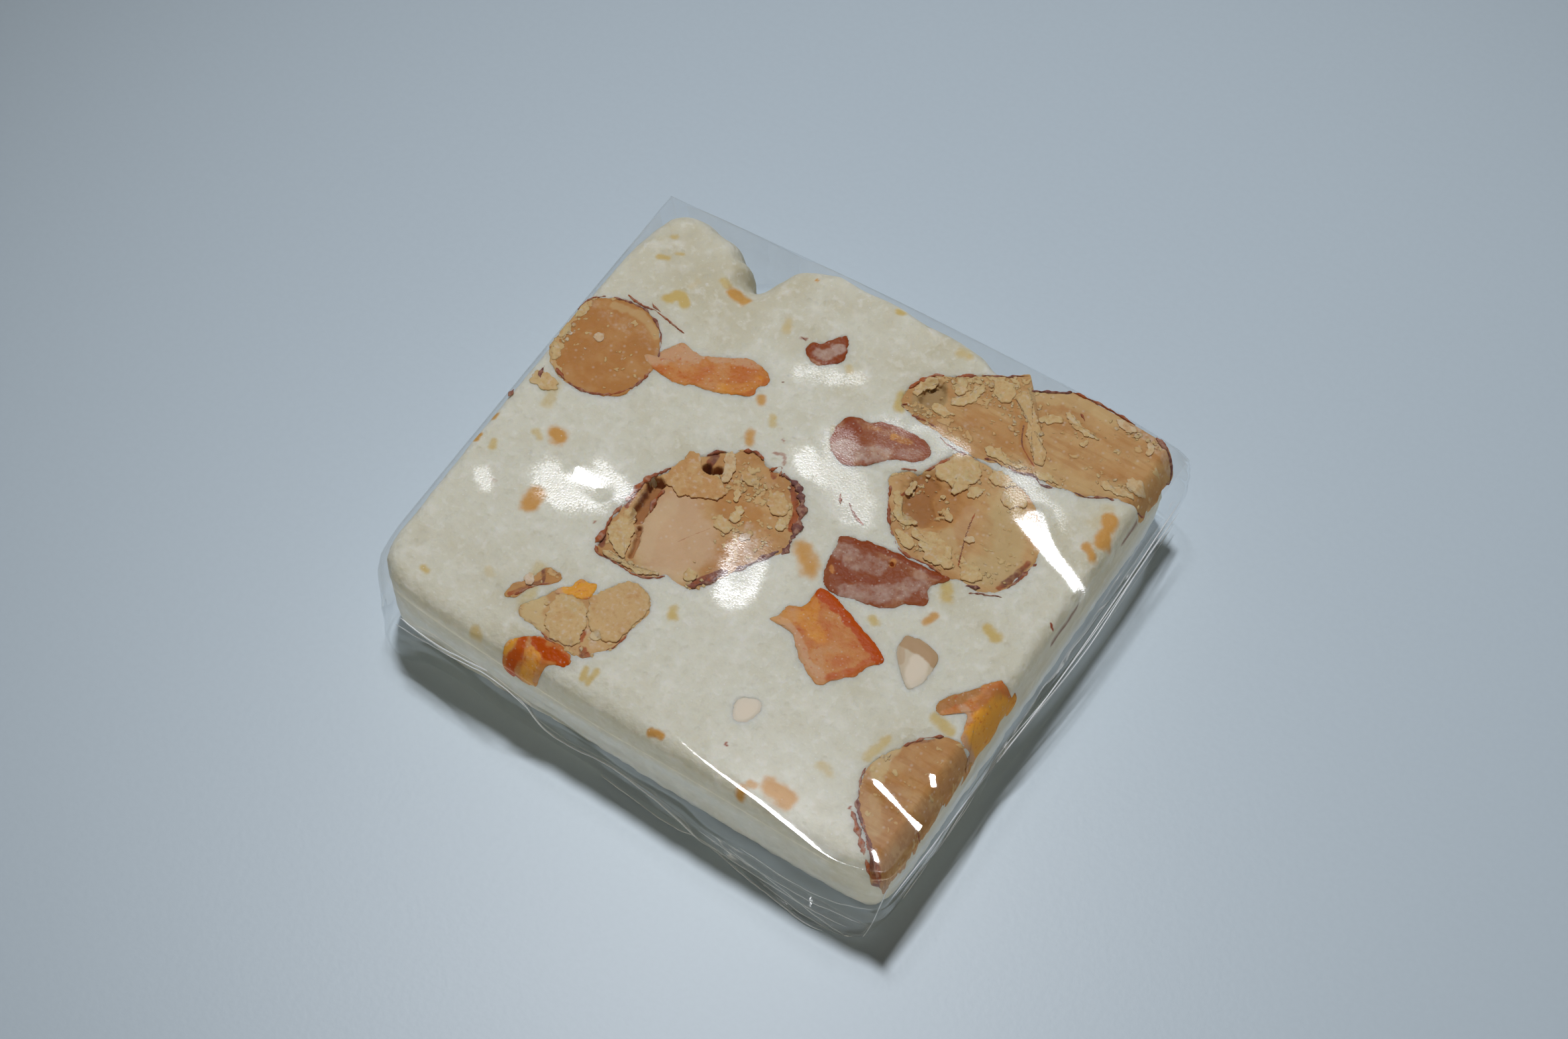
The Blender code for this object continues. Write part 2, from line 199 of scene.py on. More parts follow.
# Outline of every piece set in the face.
INLAYS = {
    "almond_round": ((-16.6, 6.9), (-16.35, 5.2), (-16.6, 3.6), (-17.2, 2.2), (-18.4, 1.4), (-19.8, 0.9), (-21.4, 0.75),
                     (-23.0, 1.2), (-24.3, 2.2), (-25.4, 3.6), (-25.9, 5.4), (-25.8, 7.4), (-25.0, 8.8),
                     (-23.6, 9.8), (-22.0, 10.45), (-20.4, 10.5), (-19.0, 10.0), (-17.8, 9.0), (-17.1, 8.0)),
    "almond_middle": ((-10.9, -9.4), (-11.2, -8.0), (-11.1, -6.0), (-11.05, -4.0), (-10.7, -2.9), (-10.0, -2.0),
                      (-9.6, -0.6), (-8.9, 0.7), (-8.1, 1.4), (-7.6, 2.2), (-6.6, 2.6), (-5.6, 3.5),
                      (-4.3, 3.8), (-3.0, 3.2), (-1.6, 3.3), (-0.6, 3.1), (0.4, 2.5), (1.5, 1.0),
                      (2.2, -1.0), (2.4, -2.8), (1.4, -4.6), (0.2, -6.6), (-0.8, -8.4), (-1.9, -9.9),
                      (-3.0, -10.1), (-4.4, -10.0), (-5.4, -10.9), (-6.8, -11.3), (-8.6, -11.2),
                      (-10.0, -11.3), (-10.8, -10.8)),
    "almond_back": ((2.3, 15.8), (2.9, 17.2), (3.7, 18.4), (4.6, 18.8), (5.6, 19.5), (6.7, 20.3), (7.7, 21.0),
                    (8.8, 21.6), (9.5, 22.2), (10.2, 22.6), (10.7, 21.4), (11.4, 21.4), (12.4, 22.0),
                    (13.4, 22.6), (14.4, 23.2), (16.0, 23.5), (19.0, 23.4), (21.2, 23.2), (23.0, 22.8),
                    (24.4, 22.1), (25.4, 21.0), (25.9, 19.0), (25.7, 17.3), (24.7, 17.0), (23.8, 16.4),
                    (22.4, 16.1), (21.6, 15.7), (20.6, 15.2), (19.9, 14.6), (18.6, 14.6), (17.2, 14.2),
                    (16.0, 14.2), (14.6, 13.8), (13.0, 13.7), (11.6, 13.3), (10.2, 13.2), (8.4, 13.3),
                    (6.4, 13.5), (4.4, 13.7), (3.0, 14.1), (2.4, 14.8)),
    "almond_right": ((9.4, 13.2), (8.5, 11.8), (8.0, 10.7), (7.4, 9.6), (6.2, 8.9), (5.5, 7.9), (5.9, 7.0),
                     (6.5, 6.2), (7.0, 5.2), (7.9, 4.1), (8.9, 3.1), (10.0, 2.4), (11.4, 2.2), (13.0, 2.4),
                     (14.6, 2.2), (15.6, 2.6), (16.8, 2.4), (18.2, 2.9), (19.2, 3.8), (19.5, 5.2),
                     (19.9, 6.8), (19.8, 8.2), (19.2, 9.6), (18.0, 11.2), (16.6, 12.3), (14.6, 13.0),
                     (12.0, 13.2)),
    "almond_corner": ((22.6, -9.7), (21.4, -10.4), (20.2, -11.6), (19.4, -12.8), (18.7, -14.0), (18.3, -15.4),
                      (18.5, -16.8), (19.0, -18.0), (19.9, -19.4), (21.2, -20.6), (22.4, -21.8),
                      (23.8, -23.1), (25.4, -23.4), (26.2, -22.0), (26.3, -16.0), (26.2, -11.0), (25.4, -9.8),
                      (24.0, -9.6)),
    "almond_chips": ((-7.6, -13.4), (-6.9, -12.3), (-5.8, -11.8), (-4.6, -12.1), (-3.8, -12.9), (-3.5, -13.9),
                     (-3.8, -15.4), (-3.9, -16.6), (-4.2, -18.0), (-5.0, -18.8), (-5.3, -19.8), (-6.8, -20.0),
                     (-8.6, -20.0), (-10.4, -19.6), (-12.0, -19.4), (-12.6, -18.4), (-11.6, -17.0),
                     (-11.0, -15.6), (-9.8, -15.4), (-8.4, -15.0)),
    "almond_sliver": ((-12.9, -14.5), (-11.8, -14.4), (-11.2, -14.7), (-11.4, -15.4), (-12.2, -16.1),
                      (-13.0, -17.0), (-13.5, -18.2), (-14.1, -18.6), (-14.4, -17.9), (-14.1, -17.0),
                      (-13.4, -16.2), (-13.2, -15.3)),
    "peel_strip": ((-18.1, 6.6), (-17.2, 7.0), (-16.6, 8.2), (-15.7, 9.4), (-14.9, 9.2), (-13.8, 9.2), (-12.6, 9.8),
                   (-11.2, 10.6), (-9.9, 11.1), (-8.6, 10.9), (-7.8, 10.4), (-7.5, 9.7), (-8.1, 9.1),
                   (-8.0, 8.2), (-9.2, 7.5), (-10.4, 6.9), (-11.6, 6.6), (-12.9, 6.3), (-13.3, 5.9),
                   (-14.6, 5.7), (-16.2, 5.9), (-17.3, 6.0)),
    "peel_chip": ((-4.7, 17.5), (-4.2, 17.0), (-3.7, 16.0), (-3.6, 15.0), (-4.3, 14.3), (-5.2, 13.7), (-6.3, 13.9),
                  (-6.9, 14.6), (-6.7, 15.4), (-6.1, 15.6), (-5.6, 16.4), (-5.1, 17.2)),
    "peel_glazed": ((-0.4, 10.6), (0.4, 11.2), (1.6, 11.4), (2.2, 12.0), (4.0, 12.3), (6.4, 12.3), (7.3, 11.6),
                    (7.2, 10.6), (5.9, 9.7), (4.8, 9.1), (3.4, 7.6), (2.0, 6.8), (0.8, 7.0), (-0.2, 7.8),
                    (-0.6, 9.2)),
    "peel_frosted": ((5.3, 0.7), (5.9, 1.2), (7.4, 1.6), (9.0, 1.9), (11.0, 2.1), (13.0, 2.2), (14.8, 2.3),
                     (14.3, 1.4), (13.9, 0.5), (14.5, -0.4), (14.3, -1.1), (13.0, -1.7), (12.5, -2.5),
                     (11.4, -3.1), (9.8, -3.5), (8.2, -3.9), (6.9, -3.8), (6.1, -2.8), (5.7, -1.4), (5.6, -0.2)),
    "peel_orange": ((6.5, -4.2), (7.4, -4.05), (8.8, -4.4), (10.4, -5.0), (12.0, -5.6), (13.6, -6.3), (14.45, -6.9),
                    (14.2, -7.5), (13.6, -8.2), (13.3, -9.3), (12.3, -10.3), (11.2, -11.6), (10.2, -11.2),
                    (8.9, -10.6), (7.9, -9.7), (7.1, -8.9), (5.8, -8.7), (4.7, -8.7), (5.2, -8.0),
                    (5.3, -7.0), (6.4, -6.2), (6.5, -5.2)),
    "peel_amber": ((25.0, -2.8), (23.4, -3.1), (22.4, -4.0), (21.9, -4.8), (21.3, -5.6), (20.5, -6.6), (20.0, -7.6),
                   (20.2, -8.4), (20.9, -8.6), (21.5, -7.7), (22.4, -7.4), (22.9, -8.4), (23.2, -9.6),
                   (24.4, -10.2), (25.8, -10.2), (26.2, -7.0), (26.2, -4.0)),
    "peel_front": ((-9.8, -20.0), (-8.0, -19.8), (-6.5, -20.2), (-6.4, -20.9), (-7.6, -21.6), (-8.0, -22.2),
                   (-8.7, -23.0), (-9.4, -23.4), (-10.2, -23.2), (-10.9, -23.6), (-11.6, -22.6),
                   (-11.7, -21.4), (-11.0, -20.8)),
    "peel_crumb": ((-10.0, -14.0), (-9.2, -13.8), (-8.5, -13.6), (-8.3, -14.4), (-8.4, -15.2), (-9.4, -15.6),
                   (-10.4, -16.0), (-11.0, -16.1), (-10.8, -15.4), (-10.2, -14.9)),
    "nut_beige": ((14.6, -4.0), (16.0, -3.7), (17.8, -4.2), (18.15, -5.6), (18.05, -7.0), (17.5, -8.0), (16.8, -7.7),
                  (15.8, -6.8), (14.8, -5.6)),
    "nut_pale": ((6.9, -15.6), (8.2, -15.2), (8.7, -16.2), (8.4, -17.4), (7.5, -17.9), (6.8, -17.2), (6.6, -16.3)),
}

# ---------------------------------------------------------------- the pieces in the face, in mm
# Each mark: (layer, points, half width, strength). The layers lift or sink the surface as well, and the hollow marks
# paint shade into the flesh.
# Each plate: (torn outline, rest below the film, tone from sugar -1 through pale 0 to toasted 1).
ALMONDS = {
    "almond_round": {
        "rest": -0.1, "hue": 1.0, "seed": 3.0, "fibres": 0.15,
        "marks": (
            ("flake", ((-24.9, 9.0), (-25.2, 6.0), (-24.8, 3.5), (-23.8, 1.6), (-22.9, 1.0)), 0.6, 0.8),
            ("frost", ((-24.0, 8.6), (-22.0, 8.1), (-19.4, 8.2), (-17.2, 7.6)), 0.9, 0.42),
            ("hollow", ((-20.0, 4.6), (-19.2, 3.4)), 1.7, 0.12),
            ("pale", ((-22.6, 9.4), (-20.0, 9.7), (-18.0, 8.8)), 0.5, 0.6),
        ),
        "rims": (
            (((-23.4, 10.0), (-21.0, 10.45), (-19.2, 10.1), (-17.6, 8.8), (-16.6, 6.9)), 0.2, 0.65),
            (((-16.5, 5.6), (-16.6, 4.0), (-17.7, 2.1), (-19.6, 1.0), (-21.6, 0.95), (-23.4, 1.6)), 0.18, 0.35),
            (((-25.3, 7.4), (-24.8, 8.8), (-23.8, 9.8)), 0.16, 0.5),
            (((-22.4, 10.9), (-21.0, 10.65), (-19.4, 10.8), (-17.6, 10.45), (-16.2, 10.25)), 0.16, 0.3),
            (((-20.4, 11.45), (-19.8, 11.1), (-19.0, 10.95)), 0.12, 0.4),
            (((-24.3, 1.6), (-24.0, 0.4), (-23.3, -0.6)), 0.22, 0.6),
        ),
        "plates": (
            (((-22.3, 6.3), (-21.8, 6.4), (-21.4, 6.0), (-21.6, 5.6), (-22.1, 5.7)), -0.05, -1.0),
            (((-24.4, 5.2), (-24.1, 5.1), (-24.1, 4.8), (-24.4, 4.8)), -0.06, -0.9),
            (((-22.4, 4.5), (-22.15, 4.5), (-22.15, 4.3), (-22.4, 4.3)), -0.06, -0.9),
            (((-25.0, 8.4), (-24.4, 8.0), (-24.2, 7.2), (-24.7, 6.6), (-25.1, 7.2)), -0.1, 0.1),
            (((-25.1, 5.8), (-24.6, 5.8), (-24.3, 5.0), (-24.6, 4.2), (-25.1, 4.6)), -0.1, 0.2),
            (((-24.8, 3.6), (-24.1, 3.4), (-23.5, 2.5), (-23.9, 2.0), (-24.5, 2.6)), -0.1, 0.1),
            (((-24.4, 0.4), (-23.4, 0.7), (-22.2, 0.3), (-22.0, -0.4), (-23.2, -0.8), (-24.2, -0.6)), -0.12, 0.15),
        ),
        "crumbs": ((-24.4, 5.5, 0.6, 3.0, 40), (-23.0, 0.2, 0.9, 0.9, 14)),
    },
    "almond_middle": {
        "rest": -0.24, "hue": 0.5, "seed": 11.0, "fibres": 0.2,
        "marks": (
            ("hollow", ((-9.9, -3.2), (-9.7, -4.8), (-9.5, -6.6)), 0.62, 1.7),
            ("hollow", ((-8.7, -7.4), (-8.1, -8.8), (-7.8, -10.0)), 0.22, 0.9),
            ("smooth", ((-7.0, -4.6), (-6.4, -7.6), (-4.9, -8.4)), 2.6, 0.8),
            ("smooth", ((-4.4, -5.0), (-3.4, -6.6)), 1.5, 0.8),
            ("pale", ((-7.8, -4.4), (-8.0, -6.4), (-7.0, -9.4)), 0.9, 0.7),
            ("pale", ((-6.6, -10.6), (-3.6, -9.4), (-2.6, -8.8)), 0.6, 0.7),
            ("hollow", ((-7.3, 0.35), (-6.7, 0.2), (-6.3, 0.7)), 0.3, 2.2),
            ("flake", ((-4.4, 1.8), (-3.2, 0.4), (-1.8, 0.6)), 1.0, 0.5),
            ("flake", ((-0.2, 0.8), (1.0, -0.4)), 0.8, 0.45),
            ("flake", ((-3.6, -3.2), (-2.4, -4.0), (-1.2, -5.4)), 0.8, 0.4),
            ("toast", ((-4.4, -0.8), (-3.6, -2.0), (-1.8, -1.4)), 1.1, 0.8),
            ("toast", ((-1.6, -4.6), (-2.4, -6.2), (-1.8, -7.4)), 0.7, 0.7),
            ("toast", ((-5.6, -3.0), (-7.2, -3.4)), 0.3, 0.6),
            ("frost", ((-1.1, -2.6), (-0.2, -3.8), (0.2, -4.6)), 0.8, 0.6),
            ("frost", ((-2.4, 1.4), (-1.6, 2.6)), 0.6, 0.4),
            ("stain", ((-0.4, 2.6), (1.0, 0.9), (1.7, -0.8)), 0.34, 0.9),
            ("stain", ((0.4, -2.2), (0.8, -3.0)), 0.8, 0.45),
            ("stain", ((-0.9, -7.2), (-1.6, -8.4), (-2.4, -9.4)), 0.38, 0.9),
            ("stain", ((-3.9, -4.3), (-4.6, -5.4), (-5.4, -6.8)), 0.06, 0.6),
            ("stain", ((-2.9, 3.4), (-2.3, 2.7)), 0.35, 0.7),
            ("stain", ((-10.9, -3.4), (-10.9, -5.0), (-10.8, -6.2)), 0.26, 0.9),
            ("stain", ((-10.8, -9.6), (-10.4, -10.4)), 0.35, 0.8),
            ("stain", ((-8.0, 1.5), (-7.4, 1.9), (-7.3, 0.9)), 0.4, 0.8),
        ),
        "rims": (
            (((-1.8, 3.2), (-0.4, 3.0), (0.6, 2.3), (1.5, 1.0), (2.0, -0.4), (2.2, -1.6)), 0.5, 0.95),
            (((2.1, -1.6), (2.4, -2.5), (2.3, -3.3)), 0.42, 1.0),
            (((1.9, -3.0), (1.1, -4.6), (0.4, -5.8), (-0.2, -7.0)), 0.3, 1.0),
            (((-0.4, -6.8), (-1.1, -8.2), (-1.9, -9.4), (-2.6, -9.8)), 0.3, 0.6),
            (((-4.4, -10.0), (-5.4, -10.9), (-6.8, -11.3), (-8.6, -11.15), (-10.0, -11.25), (-10.8, -10.7)),
             0.16, 0.35),
            (((-10.9, -10.6), (-10.9, -9.2), (-11.15, -8.0), (-11.1, -6.4)), 0.26, 0.2),
            (((-11.0, -6.0), (-11.0, -4.4), (-10.7, -3.0), (-10.1, -2.0), (-9.7, -1.2)), 0.3, 0.25),
            (((-9.0, -3.3), (-9.1, -4.6), (-8.8, -5.8)), 0.24, 0.55),
            (((-8.0, 1.3), (-7.4, 2.1), (-6.7, 2.5)), 0.2, 0.15),
            (((-5.7, 3.3), (-4.8, 3.8), (-3.8, 3.5)), 0.26, 0.2),
            (((-2.9, 2.9), (-2.2, 3.7), (-1.9, 2.9)), 0.22, 0.3),
        ),
        "plates": (
            (((-9.1, 1.0), (-8.2, 0.9), (-7.5, 0.0), (-6.5, 0.2), (-5.3, -0.3), (-4.6, -0.8), (-4.8, -1.6),
              (-5.3, -2.0), (-5.8, -2.2), (-6.3, -2.5), (-6.9, -2.65), (-7.3, -2.8), (-7.7, -3.2), (-8.1, -3.0),
              (-8.6, -2.8), (-9.3, -2.8), (-9.9, -2.4), (-9.7, -1.6), (-9.5, -0.9), (-9.4, 0.0)), -0.05, 0.75),
            (((-10.2, -6.0), (-9.8, -6.3), (-9.4, -6.9), (-8.9, -8.0), (-8.5, -9.3), (-8.2, -10.4), (-8.9, -10.4),
              (-9.7, -10.0), (-10.3, -9.5), (-10.75, -8.7), (-10.7, -7.8), (-10.6, -6.9)), -0.05, 0.1),
            (((-6.5, 2.7), (-6.0, 2.6), (-5.5, 1.9), (-5.1, 1.0), (-5.1, 0.3), (-5.5, -0.2), (-5.8, 0.3),
              (-6.2, 1.2), (-6.5, 2.0)), -0.04, -0.35),
            (((-2.95, -1.3), (-2.5, -1.4), (-2.35, -2.0), (-2.4, -2.8), (-2.8, -2.9), (-3.1, -2.3), (-3.2, -1.6)),
             -0.07, 0.0),
            (((0.45, -0.4), (1.0, -0.5), (1.3, -1.0), (0.9, -1.5), (0.5, -1.3)), -0.06, 0.0),
            (((-4.1, 0.0), (-3.5, -0.4), (-3.4, -1.1), (-3.9, -0.8)), -0.07, 0.1),
            (((-3.2, -8.2), (-2.6, -8.5), (-2.3, -8.9), (-2.7, -9.5), (-3.1, -9.3), (-3.3, -8.8)), -0.08, 0.0),
            (((-3.9, -3.0), (-2.7, -3.0), (-2.3, -3.7), (-2.9, -4.1), (-3.8, -3.9)), -0.1, 0.2),
            (((-4.7, 1.7), (-4.0, 1.9), (-3.0, 1.5), (-2.6, 0.9), (-3.4, 0.8), (-4.2, 1.0)), -0.08, 0.4),
            (((-9.9, -10.7), (-9.0, -10.5), (-7.6, -10.8), (-6.2, -10.5), (-5.0, -10.1), (-5.5, -10.6),
              (-6.4, -11.0), (-7.6, -11.0), (-9.4, -11.05)), -0.1, -0.1),
            (((-1.4, -3.2), (-0.9, -3.1), (-0.7, -3.6), (-1.1, -3.95), (-1.4, -3.7)), -0.05, -1.0),
            (((-0.9, 1.6), (0.2, 1.2), (0.6, 0.3), (-0.2, -0.4), (-1.2, 0.2), (-1.5, 1.0)), -0.1, 0.4),
        ),
        "crumbs": ((-3.8, 0.8, 2.6, 1.8, 60), (-2.4, -3.4, 1.2, 1.4, 20), (-2.4, -9.0, 1.0, 0.8, 18),
                   (-7.6, -10.7, 2.0, 0.4, 16), (0.4, -3.0, 0.8, 1.6, 14)),
    },
    "almond_back": {
        "rest": -0.16, "hue": 0.3, "seed": 23.0, "fibres": 0.5,
        "marks": (
            ("hollow", ((4.3, 17.0), (4.6, 15.8)), 0.9, 0.9),
            ("grey", ((3.8, 17.4), (4.8, 16.4), (4.0, 15.4)), 1.1, 1.0),
            ("flake", ((3.4, 18.2), (6.4, 19.8), (9.5, 21.7)), 0.7, 0.6),
            ("flake", ((7.6, 18.6), (9.0, 19.8), (10.8, 20.9)), 1.1, 0.45),
            ("flake", ((3.4, 14.6), (6.6, 15.0), (9.0, 14.2)), 0.6, 0.4),
            ("pale", ((11.4, 21.0), (14.0, 22.2), (18.0, 22.8)), 0.9, 0.6),
            ("pale", ((16.0, 15.4), (19.5, 15.6), (22.0, 17.0)), 1.0, 0.5),
            ("toast", ((8.4, 16.4), (11.0, 16.8), (12.0, 15.6)), 1.0, 0.5),
            ("toast", ((12.2, 18.2), (13.0, 16.6), (14.6, 15.3)), 0.4, 0.8),
            ("toast", ((20.0, 18.0), (23.0, 19.6), (24.6, 20.4)), 0.9, 0.45),
            ("toast", ((10.0, 20.4), (10.6, 19.4), (11.6, 18.6)), 0.3, 0.6),
            ("stain", ((12.3, 18.0), (13.2, 16.3), (15.0, 15.15)), 0.06, 1.1),
            ("frost", ((19.0, 23.0), (22.0, 22.4), (24.0, 21.6)), 0.5, 0.6),
            ("frost", ((8.0, 16.0), (9.4, 15.2)), 0.8, 0.4),
        ),
        "rims": (
            (((2.4, 15.9), (2.9, 17.1), (3.6, 18.2), (4.3, 18.6)), 0.26, 0.05),
            (((4.9, 18.9), (5.7, 19.5), (6.5, 20.1)), 0.24, 0.25),
            (((6.8, 20.3), (8.2, 21.1), (9.4, 21.9), (10.2, 22.5)), 0.16, 0.65),
            (((10.9, 21.2), (12.2, 21.9), (13.2, 22.5), (14.0, 23.0)), 0.16, 0.9),
            (((14.0, 23.1), (16.0, 23.45), (18.0, 23.3), (20.0, 23.1)), 0.14, 0.35),
            (((22.0, 23.0), (23.6, 22.4), (24.6, 21.7), (25.3, 20.9)), 0.22, 0.9),
            (((25.4, 17.3), (24.6, 17.0), (23.9, 16.5)), 0.26, 0.6),
            (((22.2, 15.9), (21.2, 15.6), (20.4, 15.0), (19.0, 14.7)), 0.2, 0.8),
            (((17.4, 14.2), (16.4, 13.9), (15.4, 14.3), (14.2, 13.8), (13.2, 14.0)), 0.18, 0.9),
            (((13.0, 13.6), (12.1, 13.8), (11.2, 13.5)), 0.2, 0.15),
            (((9.8, 13.1), (8.4, 12.9), (7.0, 13.3)), 0.14, 0.7),
            (((6.4, 13.9), (5.2, 13.95), (4.0, 13.8)), 0.13, 0.5),
            (((3.2, 14.6), (2.8, 14.2), (3.4, 14.0)), 0.14, 0.4),
            (((15.6, 21.6), (16.0, 21.4), (16.3, 21.15)), 0.14, 0.3),
        ),
        "plates": (
            (((7.3, 19.6), (6.9, 18.6), (6.5, 17.6), (5.9, 16.9), (6.2, 16.4), (7.0, 16.8), (7.6, 17.6), (7.9, 18.6),
              (7.8, 19.4)), -0.06, 0.0),
            (((5.0, 16.0), (5.9, 16.0), (6.9, 15.7), (6.3, 15.2), (5.2, 15.2)), -0.07, 0.1),
            (((5.4, 19.0), (6.2, 19.2), (6.6, 18.4), (6.2, 17.6), (5.4, 18.2)), -0.08, -0.1),
            (((8.0, 20.6), (9.4, 20.9), (10.2, 20.0), (9.8, 19.0), (8.6, 19.4)), -0.08, 0.15),
            (((10.8, 20.9), (12.0, 20.0), (13.2, 18.8), (14.4, 17.4), (15.6, 15.9), (15.1, 15.3), (14.0, 16.3),
              (13.0, 17.4), (12.4, 18.4), (11.4, 19.2), (10.4, 20.0)), -0.06, 0.35),
            (((12.9, 19.3), (13.4, 19.0), (14.2, 19.4), (14.8, 20.2), (14.2, 20.3), (13.4, 19.9)), -0.05, 0.15),
            (((14.6, 21.0), (15.5, 20.95), (16.8, 20.5), (18.2, 20.25), (17.4, 20.05), (16.0, 20.05), (15.0, 20.4)),
             -0.05, 0.1),
            (((16.9, 19.0), (17.4, 18.9), (17.8, 19.3), (17.5, 19.8), (17.3, 19.4)), -0.05, 0.1),
            (((10.8, 14.6), (12.0, 15.0), (13.4, 14.5), (14.6, 14.8), (14.0, 14.2), (12.4, 14.0), (11.2, 14.0)),
             -0.05, 0.1),
            (((15.4, 14.9), (16.6, 15.1), (17.6, 14.7), (16.8, 14.4), (15.8, 14.5)), -0.05, 0.05),
            (((22.2, 18.3), (23.2, 18.6), (23.9, 18.1), (23.4, 17.4), (22.4, 17.5)), -0.05, -0.35),
            (((20.4, 16.8), (21.6, 17.0), (23.4, 17.0), (22.4, 16.5), (20.9, 16.4)), -0.06, -0.2),
            (((18.4, 22.8), (19.4, 22.9), (20.4, 22.5), (19.6, 22.2), (18.6, 22.4)), -0.06, -0.4),
            (((21.9, 22.1), (22.4, 22.0), (22.5, 21.2), (22.1, 21.2)), -0.06, -0.4),
            (((3.2, 17.6), (3.8, 17.9), (4.4, 17.8), (4.0, 17.2), (3.6, 16.4), (3.4, 15.6), (2.9, 15.8)), -0.05, -0.15),
        ),
        "crumbs": ((11.2, 19.2, 2.4, 2.0, 60), (6.6, 18.8, 2.4, 1.6, 50), (16.6, 20.2, 2.4, 0.6, 12),
                   (15.0, 14.6, 4.0, 0.5, 40), (5.0, 14.6, 1.6, 0.8, 26), (22.2, 17.2, 1.6, 0.7, 24),
                   (21.0, 22.4, 2.4, 0.5, 24)),
    },
    "almond_right": {
        "rest": -0.2, "hue": 0.2, "seed": 37.0, "fibres": 0.3,
        "marks": (
            ("hollow", ((8.6, 8.6), (8.8, 6.9), (9.8, 6.2)), 1.3, 0.75),
            ("hollow", ((10.6, 8.6), (11.2, 7.6), (10.6, 6.4)), 1.2, 0.4),
            ("toast", ((9.4, 8.4), (10.4, 7.2), (11.4, 8.8)), 2.0, 0.8),
            ("grey", ((15.6, 9.0), (17.0, 7.0), (17.4, 4.6)), 1.9, 0.4),
            ("pale", ((12.6, 5.6), (13.4, 4.6)), 0.9, 0.6),
            ("pale", ((15.0, 10.8), (16.6, 8.6), (17.6, 5.6), (16.4, 4.2)), 1.6, 0.75),
            ("toast", ((11.8, 11.8), (13.6, 10.0), (15.2, 12.0)), 0.9, 0.35),
            ("stain", ((13.1, 11.4), (13.3, 9.6)), 0.05, 0.6),
            ("stain", ((13.35, 8.6), (13.8, 6.5), (14.8, 3.7)), 0.06, 1.1),
            ("stain", ((7.4, 8.6), (7.5, 7.6), (7.4, 6.8)), 0.1, 0.9),
            ("stain", ((19.4, 7.0), (19.0, 5.0), (18.6, 3.8)), 0.34, 0.75),
            ("smooth", ((13.0, 8.6), (13.2, 6.4)), 0.9, 0.4),
        ),
        "rims": (
            (((9.7, 13.1), (8.9, 11.9), (8.2, 10.6), (7.8, 9.8)), 0.22, 0.05),
            (((7.4, 9.5), (6.6, 9.2), (6.0, 8.9)), 0.16, 0.5),
            (((6.2, 7.2), (6.8, 5.9), (7.7, 4.5), (8.9, 3.2)), 0.22, 0.2),
            (((9.0, 3.1), (10.0, 2.4), (11.2, 2.25), (12.8, 2.45), (14.7, 2.15)), 0.18, 0.15),
            (((20.0, 7.4), (19.7, 6.2), (19.5, 5.0), (19.2, 4.0)), 0.34, 0.9),
            (((17.4, 2.9), (16.7, 2.7), (16.1, 2.3)), 0.2, 0.5),
            (((19.3, 3.2), (18.4, 2.8), (17.4, 2.3), (16.8, 1.9)), 0.16, 0.7),
        ),
        "plates": (
            (((9.2, 12.5), (10.4, 12.9), (11.6, 12.5), (12.0, 11.5), (11.6, 10.6), (11.2, 9.3), (10.6, 9.3),
              (10.2, 9.9), (9.2, 9.8), (8.4, 10.3), (8.3, 10.9), (8.8, 11.7)), -0.05, 0.1),
            (((11.8, 10.5), (12.6, 10.8), (12.9, 10.4), (12.5, 9.8), (12.0, 9.6)), -0.05, -0.1),
            (((10.2, 8.75), (10.5, 8.7), (10.45, 8.4), (10.2, 8.45)), -0.2, -0.1),
            (((11.1, 8.15), (11.4, 8.0), (11.7, 7.5), (12.1, 7.1), (11.8, 6.85), (11.3, 7.1), (11.2, 7.5)), -0.16, -0.1),
            (((13.8, 6.3), (14.3, 6.65), (14.7, 6.4), (14.3, 6.0), (13.8, 6.0)), -0.05, -0.4),
            (((6.9, 6.6), (7.5, 6.7), (8.1, 5.9), (8.8, 5.1), (9.8, 5.5), (9.7, 5.0), (8.9, 4.5), (8.0, 5.0),
              (7.4, 5.7)), -0.05, 0.0),
            (((9.9, 4.9), (10.7, 4.7), (11.5, 5.4), (12.8, 5.0), (14.0, 4.1), (14.4, 3.1), (13.4, 2.8),
              (12.4, 2.7), (11.6, 3.5), (11.2, 3.5), (10.8, 4.0), (10.2, 4.2)), -0.04, 0.1),
            (((8.9, 3.8), (10.1, 3.9), (10.9, 3.3), (10.4, 2.8), (9.6, 3.0)), -0.06, 0.0),
            (((15.2, 4.2), (16.2, 4.4), (17.0, 3.7), (16.4, 2.9), (15.4, 3.0)), -0.06, 0.1),
            (((12.6, 12.9), (13.8, 13.1), (14.4, 12.5), (13.6, 11.8), (12.8, 12.0)), -0.05, 0.05),
            (((14.4, 12.2), (15.6, 12.4), (16.4, 11.6), (15.4, 10.6), (14.4, 11.0)), -0.06, 0.15),
            (((7.6, 8.6), (8.0, 8.3), (7.9, 7.4), (7.6, 7.2), (7.5, 7.9)), -0.06, -0.1),
        ),
        "crumbs": ((11.0, 11.2, 1.8, 1.2, 60), (12.2, 3.8, 2.0, 0.8, 44), (8.6, 5.0, 0.9, 0.9, 22),
                   (10.8, 7.9, 0.6, 0.7, 5), (8.0, 8.8, 0.5, 1.4, 12), (16.4, 4.0, 1.8, 0.7, 18),
                   (15.2, 11.4, 1.6, 1.0, 16), (14.0, 13.0, 3.0, 0.5, 24)),
    },
    "almond_corner": {
